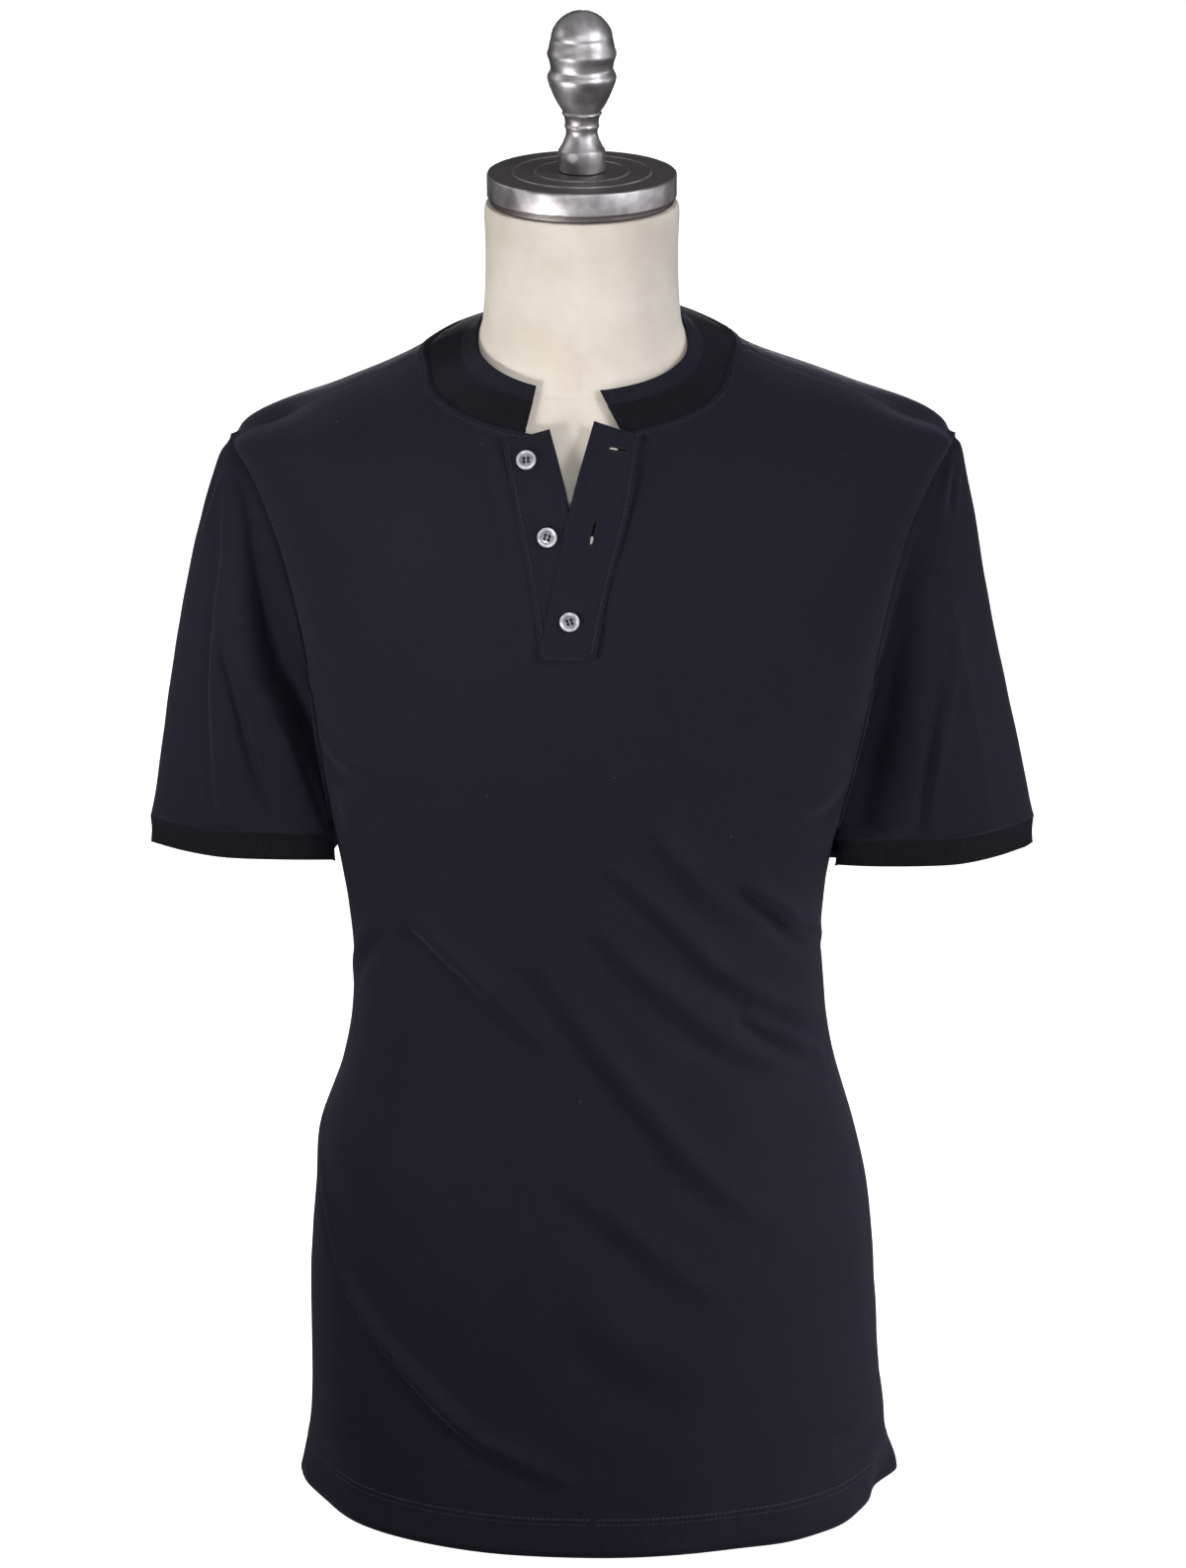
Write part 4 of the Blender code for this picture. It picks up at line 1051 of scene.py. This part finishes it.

# ---------------------------------------------------------------- Collar and cuffs
# The collar is a band of fine rib with no fold-over leaf. Its top third is knitted plain and
# is painted a little paler as a highlight, where it leans in to the neck and faces the light;
# the rest is a dark vertical rib, its valleys painted darker as shade. Its lower edge is sewn
# into the neckline. The cuffs are narrow bands of the same rib, sewn round the sleeves' ends.

RIB_SMOOTHING = 4
RIB_THICKNESS = 1.4
RIB_UNEVENNESS = 0.35
RIB_EDGE_DIP, RIB_EDGE_WIDTH = 0.5, 1.6
RIB_PITCH = 1.5  # drawn coarser than the real 1.0, so that it shows
RIB_FIBRE = 0.9
RIB_NAVY = "#14141B"
# The rib's valleys are painted this darker navy, as shade.
RIB_VALLEY_SHADE = "#07070B"
# The plain stripe's colour, painted paler as a highlight.
TIPPING_PAINTED_LIGHTER = "#1B1A24"
TIPPING_SHARE = 0.66  # where the plain knit and its painted highlight start, as a share of the band's height
TIPPING_EDGE = 0.02
TIPPING_DIP, TIPPING_DIP_WIDTH = 0.35, 0.03
HUG_GAP = 2.2  # left between the collar's top and the neck
HUG_FROM, HUG_OVER = 42.0, 24.0  # how far in front of the neck's middle it starts, and grows
HUG_CURVE = 1.5  # it grows with this power of the height in the band
# name, node, flat width and length, flat area
RIB_BANDS = (
    ("collar_rib", "collar_band", (0.46, 0.034), 0.0143),
    ("right_cuff_rib", "cuff_right", (0.34, 0.0165), 0.0056),
    ("left_cuff_rib", "cuff_left", (0.36, 0.0165), 0.0059),
)


def lay_straight(piece):
    """Lay a strip flat as a straight band, in metres, along U."""
    select_only(piece)
    mesh = piece.data
    cut = mesh.uv_layers.new(name="cut")
    first = max(mesh.polygons, key=lambda face: abs(face.center.x))
    loops = list(first.loop_indices)
    spots = [mesh.vertices[mesh.loops[k].vertex_index].co.copy() for k in loops]
    low = min(range(4), key=lambda k: spots[k].z + spots[(k + 1) % 4].z)
    order = [(low + k) % 4 for k in range(4)]
    wide = (spots[order[1]] - spots[order[0]]).length
    tall = (spots[order[2]] - spots[order[1]]).length
    for k, place in zip(order, ((0, 0), (wide, 0), (wide, tall), (0, tall))):
        cut.uv[loops[k]].vector = place
    mesh.polygons.active = first.index
    chosen = [True] * len(mesh.loops)
    cut.vertex_selection.foreach_set("value", chosen)
    cut.edge_selection.foreach_set("value", chosen)
    bpy.ops.object.mode_set(mode="EDIT")
    bpy.ops.mesh.select_all(action="SELECT")
    bpy.ops.uv.follow_active_quads(mode="LENGTH_AVERAGE")
    bpy.ops.object.mode_set(mode="OBJECT")
    flat = flat_corners(mesh)
    flat -= flat.min(axis=0)
    mesh.uv_layers["cut"].uv.foreach_set("vector", flat.ravel())


def hug_neck(band, share):
    """Draw the collar's upper half in against the neck, except near its open ends."""
    neck = surface_of(form)
    places, _ = points_of(band)
    for number, place in enumerate(places):
        beside = min(max((place[1] + HUG_FROM) / HUG_OVER, 0.0), 1.0)
        _, way, _, away = neck.find_nearest(Vector(place) * MM)
        slack = max(away / MM - HUG_GAP, 0.0) * share[number] ** HUG_CURVE * beside
        places[number] = place - np.array(way) * slack
    set_points(band, places)


# Navy rib: upright ridges of plain stitches, so fine that it looks flat and nearly black, with
# painted shade in the valleys between the ridges, and a stripe of plain knit along the collar's
# top that is painted a little paler as a highlight.
rib_knit = new_material("navy cotton rib knit")
rib_place = add_node(rib_knit, "ShaderNodeUVMap", uv_map="cut")
rib_waves = add_node(rib_knit, "ShaderNodeTexWave", {
    "Vector": rib_place.outputs[0], "Scale": WAVE_TURN / (RIB_PITCH * MM), "Distortion": 0.4,
}, bands_direction="X")
rib_fibres = add_node(rib_knit, "ShaderNodeTexNoise", {
    "Vector": rib_place.outputs[0], "Scale": 1 / (RIB_FIBRE * MM), "Detail": 3.0,
})
rib_height = add_node(rib_knit, "ShaderNodeMath", {
    0: rib_fibres.outputs[0], 1: 0.5, 2: rib_waves.outputs["Fac"],
}, operation="MULTIPLY_ADD")
# The ramp paints the rib's valleys darker as shade; the fibre noise adds the yarn's own tone.
rib_dyed_and_shaded = add_node(
    rib_knit, "ShaderNodeValToRGB", {"Fac": rib_height.outputs[0]},
    ramp=((0.2, RIB_VALLEY_SHADE), (1.0, RIB_NAVY)),
)
# Mask of the collar's top stripe, which is painted paler as a highlight.
tipping_light_mask = add_node(rib_knit, "ShaderNodeAttribute", attribute_name="tipping_lit_share")
banded_with_highlight = add_node(rib_knit, "ShaderNodeMix", {
    MIX_FACTOR: tipping_light_mask.outputs["Fac"], MIX_FIRST: rib_dyed_and_shaded.outputs[0],
    MIX_SECOND: colour(TIPPING_PAINTED_LIGHTER),
}, data_type="RGBA")
rib_bump = add_node(rib_knit, "ShaderNodeBump", {
    "Strength": 0.8, "Distance": 0.0005, "Height": rib_height.outputs[0],
})
rib_shader = add_node(rib_knit, "ShaderNodeBsdfPrincipled", {
    "Base Color": banded_with_highlight.outputs[MIX_RESULT], "Roughness": 0.9, "Specular IOR Level": 0.12,
    "Sheen Weight": 0.05, "Sheen Roughness": 0.5, "Sheen Tint": colour(KNIT_SHEEN),
    "Normal": rib_bump.outputs[0],
})
add_node(rib_knit, "ShaderNodeOutputMaterial", {"Surface": rib_shader.outputs[0]})

for name, node, flat_size, flat_area in RIB_BANDS:
    shape = outer_sheet(node, gridded=False)
    sew_edges(shape)
    is_collar = node == "collar_band"
    if not is_collar:
        mark_underarm(shape)
    reach_out(shape)
    band = cloths[name] = object_from(name, shape)
    lay_straight(band)
    subdivide(band, RIB_SMOOTHING, boundary_smooth="PRESERVE_CORNERS")
    tipping_lit_share = band.data.attributes.new("tipping_lit_share", "FLOAT", "POINT")
    if is_collar:
        tall = np.zeros(len(band.data.vertices))
        for corner in band.data.loops:
            tall[corner.vertex_index] = band.data.uv_layers["cut"].uv[corner.index].vector.y
        share = tall / tall.max()
        # The stripe's mask: there the colour is painted paler as a highlight.
        plain_stripe_lit = np.clip((share - TIPPING_SHARE) / TIPPING_EDGE, 0, 1)
        tipping_lit_share.data.foreach_set("value", plain_stripe_lit)
        dip_at(band, share - TIPPING_SHARE, TIPPING_DIP, TIPPING_DIP_WIDTH)
        hug_neck(band, share)
    soften(band, RIB_UNEVENNESS)
    dip_at(band, near_edges(band), RIB_EDGE_DIP, RIB_EDGE_WIDTH)
    pull(band)
    meet_rims(band)
    apply_modifier(band, "SOLIDIFY", thickness=RIB_THICKNESS * MM, offset=-1.0)
    settle(band, node, rib_knit)

# ---------------------------------------------------------------- Placket
# Two strips of doubled pique sewn into a slit down the front, left open at the neck. The strip
# on the wearer's right carries the buttons and lies under the other. Both are sewn across at
# the foot with a boxed row of stitches.

PLACKET_SMOOTHING = 4
PLACKET_WALL = 1.2
PLACKET_THICKNESS = 1.0
STRIP_EDGE_DIP, STRIP_EDGE_WIDTH = 0.6, 0.9
# The stitch row draws the strip in along a line this far from its edge.
STRIP_GROOVE, STRIP_GROOVE_WIDTH, STRIP_GROOVE_AWAY = 0.35, 0.8, 4.6
STRIP_UNEVENNESS = 0.3
# name, node, flat width and length, flat area
STRIPS = (
    ("under_strip", "placket_under", (0.036, 0.146), 0.0041),
    ("over_strip", "placket_over", (0.040, 0.148), 0.0046),
)

strip_rims = {}
for name, node, flat_size, flat_area in STRIPS:
    strip_shape = outer_sheet(node, PLACKET_WALL)
    reach_out(strip_shape)
    strip = cloths[name] = object_from(name, strip_shape)
    lay_flat(strip)
    subdivide(strip, PLACKET_SMOOTHING, boundary_smooth="PRESERVE_CORNERS")
    away = near_edges(strip)
    dip_at(strip, away, STRIP_EDGE_DIP, STRIP_EDGE_WIDTH)
    dip_at(strip, away - STRIP_GROOVE_AWAY, STRIP_GROOVE, STRIP_GROOVE_WIDTH)
    soften(strip, STRIP_UNEVENNESS)
    finished = bmesh.new()
    finished.from_mesh(strip.data)
    strip_rims[name] = [vertex.co.copy() for vertex in finished.verts if vertex.is_boundary]
    finished.free()
    apply_modifier(strip, "SOLIDIFY", thickness=PLACKET_THICKNESS * MM, offset=-1.0)
    settle(strip, node, pique)

# ---------------------------------------------------------------- Stitches and buttonholes
# Rows of lockstitch in navy thread round the neckline, along each edge of the placket and, as
# twin rows with the upper one in slate, round the hem. The over strip has two worked
# buttonholes: slits edged with close satin stitches, with pale interlining showing in them.

STITCH_PITCH = 3.0
STITCH_LENGTH = 2.3
STITCH_RADIUS = 0.36
STITCH_SIDES = 6
STITCH_TIP, STITCH_TAPER = 0.14, 0.5  # each end's share of the length, and how far it narrows
ROW_EASING = 5  # spots of a row that are averaged, so that it runs straight over the knit
HEM_SPOTS = 700
OUTSIDE = 400.0  # from the middle, clear of the shirt
IN_FRONT = -200.0  # clear of the chest
NECK_ROW = 3.2
NECK_ROW_ENDS = (0.22, 0.30)  # radians left open for the placket on each side
NECK_SPOTS = 320
SAME_WAY = 0.9995  # the cosine within which two places lie the same way from the neck
BESIDE_OUT, BESIDE_UP = 4.0, 6.0  # from the neck's seam to above the cloth beside it
ROW_ABOVE = 1.5  # a spot is looked for from this height above the cloth
PLACKET_ROW = 3.2
ROW_FROM, ROW_TO = 2.0, 4.0  # above a strip's foot, and below its top
LEVEL = 2.5  # edge places this near in height are level with a stitch
FOOT_ROW = (-31.0, 2.5)  # from x to x across the placket's foot
FOOT_ROW_HEIGHT = 1.6
THREAD_FLECK = 0.556  # drawn coarser than the real twist of 0.3, so that it shows
THREAD_NAVY = "#0B0B12"
THREAD_PALE = "#23222D"
THREAD_SLATE = "#3D3C4A"
THREAD_DARK = "#0E0E14"
INTERLINING = "#B9B8B6"
INTERLINING_WEAVE = 0.667
SATIN_PITCH = 0.55
SATIN_RADIUS, BAR_RADIUS = 0.34, 0.4
SATIN_RISE, BAR_RISE = 0.12, 0.15  # of the stitches' middles above the cloth
BAR_ROOM = 1.2  # length of the bar of stitches that closes each end
BAR_STEPS = (0.4, 1.0)  # its two stitches, beyond the slit's end
BAR_SHARE = 0.72  # how long the bar's stitches are, as a share of the buttonhole's height
LENS_SIDES = 24
OVAL = 0.25  # share of its height that a buttonhole loses towards its ends
SLIT_DEPTH = 5.0
SLIVER_DEPTH, SLIVER_THICKNESS = 0.45, 0.25  # of the interlining, below the cloth's face
SLIVER_MARGIN = 0.1  # how far it runs under each of the slit's edges
# middle (x, z), length, height, opening, tilt in degrees, where the pale sliver lies along it
BUTTONHOLES = (
    ((14.0, 694.5), 15.0, 5.0, 1.2, -9.0, (-4.0, 1.0)),
    ((0.5, 648.0), 16.0, 4.4, 1.9, 76.0, (-6.0, -1.5)),
)


def add_cylinder(sides, radius, depth, place=(0, 0, 0), turn=(0, 0, 0)):
    """Add a cylinder, with nothing else selected."""
    bpy.ops.object.select_all(action="DESELECT")
    bpy.ops.mesh.primitive_cylinder_add(
        vertices=sides, radius=radius, depth=depth, location=place, rotation=turn
    )
    return bpy.context.object


# One stitch of length 1 and radius 1 is modelled, and copied to every place that needs one.
stitch = add_cylinder(STITCH_SIDES, 1, 1 - 2 * STITCH_TIP)
bpy.ops.object.mode_set(mode="EDIT")
for end in (-1, 1):
    bpy.ops.mesh.select_mode(type="FACE")
    bpy.ops.mesh.select_all(action="DESELECT")
    stitch_shape = bmesh.from_edit_mesh(stitch.data)
    for face in stitch_shape.faces:
        face.select_set(face.normal.z * end > FACING)
    bmesh.update_edit_mesh(stitch.data)
    bpy.ops.mesh.extrude_region_move(TRANSFORM_OT_translate={"value": (0, 0, end * STITCH_TIP)})
    bpy.ops.transform.resize(
        value=(STITCH_TAPER, STITCH_TAPER, 1), center_override=(0, 0, end / 2)
    )
bpy.ops.object.mode_set(mode="OBJECT")
stitch_points = np.array([vertex.co for vertex in stitch.data.vertices])
stitch_faces = [tuple(face.vertices) for face in stitch.data.polygons]
bpy.data.objects.remove(stitch)


def spaced(spots, pitch):
    """Places a pitch apart along a line of (place, normal), each with its way along it."""
    even = np.ones(ROW_EASING) / ROW_EASING
    line, outs = (
        np.stack([np.convolve(row, even, "valid") for row in np.array(rows).T], axis=1)
        for rows in ([place / MM for place, _ in spots], [normal for _, normal in spots])
    )
    run = np.concatenate([[0], np.linalg.norm(np.diff(line, axis=0), axis=1).cumsum()])
    for at in np.arange(pitch / 2, run[-1], pitch):
        before, after, middle, out = (
            np.array([np.interp(at + step, run, column[:, k]) for k in range(3)])
            for step, column in ((-0.5, line), (0.5, line), (0, line), (0, outs))
        )
        yield middle, after - before, out, STITCH_LENGTH, STITCH_RADIUS


def sew(name, stitches, finish):
    """Copy the stitch to each (place, way, out, length, radius), in millimetres."""
    corners, faces = [], []
    for place, way, out, length, radius in stitches:
        way = np.array(way) / np.linalg.norm(way)
        side = np.cross(out, way)
        side /= np.linalg.norm(side)
        turned = np.outer(stitch_points[:, 2] * length, way)
        turned += np.outer(stitch_points[:, 0] * radius, side)
        turned += np.outer(stitch_points[:, 1] * radius, np.cross(way, side))
        start = len(corners)
        corners.extend((turned + place) * MM)
        faces.extend([tuple(start + k for k in face) for face in stitch_faces])
    mesh = bpy.data.meshes.new(name)
    mesh.from_pydata(corners, [], faces)
    made = bpy.data.objects.new(name, mesh)
    bpy.context.scene.collection.objects.link(made)
    made.data.materials.append(finish)
    made.data.shade_smooth()
    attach(made, "root")


def thread_finish(name, pale):
    """Spun polyester thread: a low shine, broken into pale flecks by its twist."""
    spun = new_material(name)
    spun_place = add_node(spun, "ShaderNodeTexCoord")
    twist = add_node(spun, "ShaderNodeTexNoise", {
        "Vector": spun_place.outputs["Object"], "Scale": 1 / (THREAD_FLECK * MM), "Detail": 2.0,
    })
    spun_colour = add_node(
        spun, "ShaderNodeValToRGB", {"Fac": twist.outputs[0]},
        ramp=((0.35, THREAD_NAVY), (0.6, pale)),
    )
    spun_shader = add_node(spun, "ShaderNodeBsdfPrincipled", {
        "Base Color": spun_colour.outputs[0], "Roughness": 0.6, "Specular IOR Level": 0.3,
    })
    add_node(spun, "ShaderNodeOutputMaterial", {"Surface": spun_shader.outputs[0]})
    return spun


thread = thread_finish("navy sewing thread", THREAD_PALE)
hem_thread = thread_finish("slate hem thread", THREAD_SLATE)
button_twist = thread_finish("dark navy button twist", THREAD_DARK)

body_surface = surface_of(cloths["front_cloth"], cloths["back_cloth"])
for name, height, finish in (
    ("hem_stitches_upper", HEM_EDGE + HEM_TURNING, hem_thread),
    ("hem_stitches_lower", HEM_EDGE + HEM_TURNING - HEM_STITCH_GAP, thread),
):
    spots = []
    for turn in np.linspace(0, 2 * math.pi, HEM_SPOTS):
        way = Vector((math.sin(turn), -math.cos(turn), 0))
        hit = body_surface.ray_cast((Vector((0, 0, height)) + way * OUTSIDE) * MM, -way)
        spots.append(hit[:2])
    sew(name, spaced(spots, STITCH_PITCH), finish)

# The neckline's row starts and ends at the placket, and runs just outside the collar's seam.
around_neck = []
for turn in np.linspace(NECK_ROW_ENDS[0], 2 * math.pi - NECK_ROW_ENDS[1], NECK_SPOTS):
    way = Vector((math.sin(turn), -math.cos(turn), 0))
    seam = max(neck_seam, key=lambda place: (place.xy - NECK_MIDDLE).normalized().dot(way.xy))
    if (seam.xy - NECK_MIDDLE).normalized().dot(way.xy) > SAME_WAY:
        beside = seam + way * BESIDE_OUT + Vector((0, 0, BESIDE_UP))
        above = body_surface.find_nearest(beside * MM)[1]
        outward = (way - above * way.dot(above)).normalized()
        spot = (seam + outward * NECK_ROW + above * ROW_ABOVE) * MM
        around_neck.append(body_surface.find_nearest(spot)[:2])
sew("neckline_stitches", spaced(around_neck, STITCH_PITCH), thread)


def at_front(surface, x, z):
    """The place where a surface is met from the front, and the way it faces there."""
    return surface.ray_cast(Vector((x, IN_FRONT, z)) * MM, Vector((0, 1, 0)))[:2]


placket_rows = []
for name in ("under_strip", "over_strip"):
    strip_surface = surface_of(cloths[name])
    rim = [place / MM for place in strip_rims[name]]
    low, high = min(place.z for place in rim), max(place.z for place in rim)
    side = -1 if name == "under_strip" else 1
    spots = []
    for height in np.arange(low + ROW_FROM, high - ROW_TO, 1.0):
        level = [place.x for place in rim if abs(place.z - height) < LEVEL]
        edge = max(level) if side > 0 else min(level)
        spots.append(at_front(strip_surface, edge - side * PLACKET_ROW, height))
    placket_rows += spaced([spot for spot in spots if spot[0]], STITCH_PITCH)
# The row across the foot runs over the over strip, which is the last of the two above.
foot = [at_front(strip_surface, x, low + FOOT_ROW_HEIGHT) for x in np.arange(*FOOT_ROW)]
placket_rows += spaced([spot for spot in foot if spot[0]], STITCH_PITCH)
sew("placket_stitches", placket_rows, thread)

# Bleached cotton interlining: a flat off-white without shine, seen as a thin sliver.
lining = new_material("bleached cotton interlining")
lining_place = add_node(lining, "ShaderNodeTexCoord")
lining_weave = add_node(lining, "ShaderNodeTexNoise", {
    "Vector": lining_place.outputs["Object"], "Scale": 1 / (INTERLINING_WEAVE * MM),
    "Detail": 2.0,
})
lining_bump = add_node(lining, "ShaderNodeBump", {
    "Strength": 0.4, "Distance": 0.0002, "Height": lining_weave.outputs[0],
})
lining_shader = add_node(lining, "ShaderNodeBsdfPrincipled", {
    "Base Color": colour(INTERLINING), "Roughness": 0.8, "Normal": lining_bump.outputs[0],
})
add_node(lining, "ShaderNodeOutputMaterial", {"Surface": lining_shader.outputs[0]})

over_strip = cloths["over_strip"]
strip_surface = surface_of(over_strip)
satin = []
for number, ((x, z), length, height, opening, tilt, sliver) in enumerate(BUTTONHOLES):
    middle, out = at_front(strip_surface, x, z)
    level = out.cross(Vector((0, 0, 1))).normalized() * -1
    along = Matrix.Rotation(math.radians(tilt), 3, out) @ level
    across = out.cross(along)
    frame_of_hole = Matrix((along, across, out)).transposed().to_4x4()
    frame_of_hole.translation = middle
    inner = length - 2 * BAR_ROOM
    for at in np.arange(-inner / 2, inner / 2, SATIN_PITCH):
        gap = opening / 2 * math.sqrt(max(1 - (2 * at / inner) ** 2, 0))
        outer = height / 2 * (1 - OVAL * (2 * at / inner) ** 2)
        for side in (-1, 1):
            spot = along * at + across * side * (gap + outer) / 2 + out * SATIN_RISE
            satin.append((spot + middle / MM, across, out, outer - gap, SATIN_RADIUS))
    for end in (-1, 1):
        for step in BAR_STEPS:
            spot = along * end * (inner / 2 + step) + out * BAR_RISE
            satin.append((spot + middle / MM, across, out, height * BAR_SHARE, BAR_RADIUS))
    # The slit is cut out as a lens, and a smaller lens of interlining is laid below it.
    for cuts, start, end, half_width, deep, thick in (
        (True, -inner / 2, inner / 2, opening / 2, 0.0, SLIT_DEPTH),
        (False, *sliver, opening / 2 + SLIVER_MARGIN, SLIVER_DEPTH, SLIVER_THICKNESS),
    ):
        lens = add_cylinder(LENS_SIDES, 1, 1)
        lens.matrix_world = (
            frame_of_hole @ Matrix.Translation(Vector(((start + end) / 2, 0, -deep)) * MM)
            @ Matrix.Diagonal((*Vector(((end - start) / 2, half_width, thick)) * MM, 1))
        )
        bpy.ops.object.transform_apply()
        if cuts:
            apply_modifier(over_strip, "BOOLEAN", object=lens, operation="DIFFERENCE")
            bpy.data.objects.remove(lens)
        else:
            lens.name = lens.data.name = f"interlining_{number}"
            lens.data.materials.append(lining)
            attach(lens, "root")
sew("buttonhole_stitches", satin, button_twist)

# ---------------------------------------------------------------- Buttons
# Three four-hole shirt buttons, turned from smoke-grey imitation horn with a raised rim round a
# sunk middle, the rim painted pale as a highlight. Each is sewn on with navy twist through its
# holes in two upright pairs.

BUTTON_SIDES = 48
BUTTON_PROFILE = (
    (4.9, 0.0), (5.4, 0.3), (5.75, 0.8), (5.8, 1.3), (5.75, 1.75), (5.55, 2.1), (5.2, 2.32),
    (4.8, 2.38), (4.4, 2.3), (4.05, 2.05), (3.8, 1.75), (3.55, 1.55), (3.2, 1.48), (2.2, 1.42),
    (1.0, 1.40),
)
BUTTON_HALF = 1.2  # from the button's underside to the middle of its solid
HOLE_RADIUS = 0.95
HOLE_SIDES = 16
HOLE_SPACING = (2.5, 2.3)  # across and up
DRILL_DEPTH = 8.0
STRAND_RADIUS = 0.55
STRAND_SIDES = 12
STRAND_HEIGHT = 1.2
STRAND_ENDS = 1.0  # how much longer a strand is than the gap between its holes
HORN = "#8A8B92"
HORN_DARK = "#6B6C73"
# The rim's pale colour is a painted highlight.
HORN_RIM_HIGHLIGHT = "#D6D7DB"
HORN_CLOUD = 6.25
RIM_INSIDE = 4.0  # the rim's painted highlight, a paler colour, is outside this radius
# node, turn of its holes in degrees
BUTTONS = (("button_top", 6), ("button_middle", -14), ("button_bottom", 18))


def facing_of(node):
    """The middle of a flat node, and the way that its face points."""
    spots = np.array([v.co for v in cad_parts[node].data.vertices])
    low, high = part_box(node)
    middle = (Vector(low) + Vector(high)) / 2
    way = Vector(np.linalg.svd(spots - spots.mean(axis=0), full_matrices=False)[2][2])
    return middle, way if way.y < 0 else -way


def place_on(piece, middle, way, turn):
    """Turn a piece's own Z to face a way, and move it to its place for good."""
    piece.matrix_world = (
        Matrix.Translation(middle) @ way.to_track_quat("Z", "Y").to_matrix().to_4x4()
        @ Matrix.Rotation(turn, 4, "Z")
    )
    select_only(piece)
    bpy.ops.object.transform_apply()


def horn_finish(name, pale, dark):
    """Imitation horn, polished: cloudy grey, with small sharp highlights in a clear skin."""
    polished = new_material(name)
    horn_place = add_node(polished, "ShaderNodeTexCoord")
    clouds = add_node(polished, "ShaderNodeTexNoise", {
        "Vector": horn_place.outputs["Object"], "Scale": 1 / (HORN_CLOUD * MM), "Detail": 2.0,
        "Distortion": 0.6,
    })
    horn_colour = add_node(
        polished, "ShaderNodeValToRGB", {"Fac": clouds.outputs[0]},
        ramp=((0.3, dark), (0.7, pale)),
    )
    horn_rough = add_node(polished, "ShaderNodeMapRange", {
        "Value": clouds.outputs[0], "To Min": 0.12, "To Max": 0.22,
    })
    horn_shader = add_node(polished, "ShaderNodeBsdfPrincipled", {
        "Base Color": horn_colour.outputs[0], "Roughness": horn_rough.outputs[0],
        "IOR": 1.54, "Coat Weight": 0.6, "Coat Roughness": 0.08,
    })
    add_node(polished, "ShaderNodeOutputMaterial", {"Surface": horn_shader.outputs[0]})
    return polished


horn = horn_finish("smoke grey imitation horn", HORN, HORN_DARK)
# The rim's pale horn is a painted highlight.
horn_rim_highlight = horn_finish("horn rim painted pale as a highlight", HORN_RIM_HIGHLIGHT, HORN)

half_across, half_up = (gap / 2 * MM for gap in HOLE_SPACING)
for node, turn in BUTTONS:
    button = lathe(node + "_turned", BUTTON_PROFILE, (0, 0, 0), BUTTON_SIDES)
    for across in (-half_across, half_across):
        for up in (-half_up, half_up):
            drill = add_cylinder(
                HOLE_SIDES, HOLE_RADIUS * MM, DRILL_DEPTH * MM, (across, up, 0)
            )
            apply_modifier(button, "BOOLEAN", object=drill, operation="DIFFERENCE")
            bpy.data.objects.remove(drill)
    button.data.materials.append(horn)
    button.data.materials.append(horn_rim_highlight)
    # Faces outside the rim's radius get the pale horn, a painted highlight.
    for face in button.data.polygons:
        face.material_index = int(face.center.xy.length > RIM_INSIDE * MM)
    strands = [
        add_cylinder(
            STRAND_SIDES, STRAND_RADIUS * MM, 2 * half_up + STRAND_ENDS * MM,
            (across, 0, STRAND_HEIGHT * MM), (math.radians(90), 0, 0),
        )
        for across in (-half_across, half_across)
    ]
    select_only(strands[0])
    strands[1].select_set(True)
    bpy.ops.object.join()
    sewing = strands[0]
    sewing.name = sewing.data.name = node + "_thread"
    sewing.data.materials.append(button_twist)
    bpy.ops.object.transform_apply()
    middle, way = facing_of(node)
    for piece, slot in ((button, "button"), (sewing, "pique")):
        place_on(piece, middle - way * (BUTTON_HALF * MM), way, math.radians(turn))
        bpy.ops.object.shade_smooth_by_angle(angle=TURNED_EDGE)
        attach(piece, "root")
    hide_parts(node)
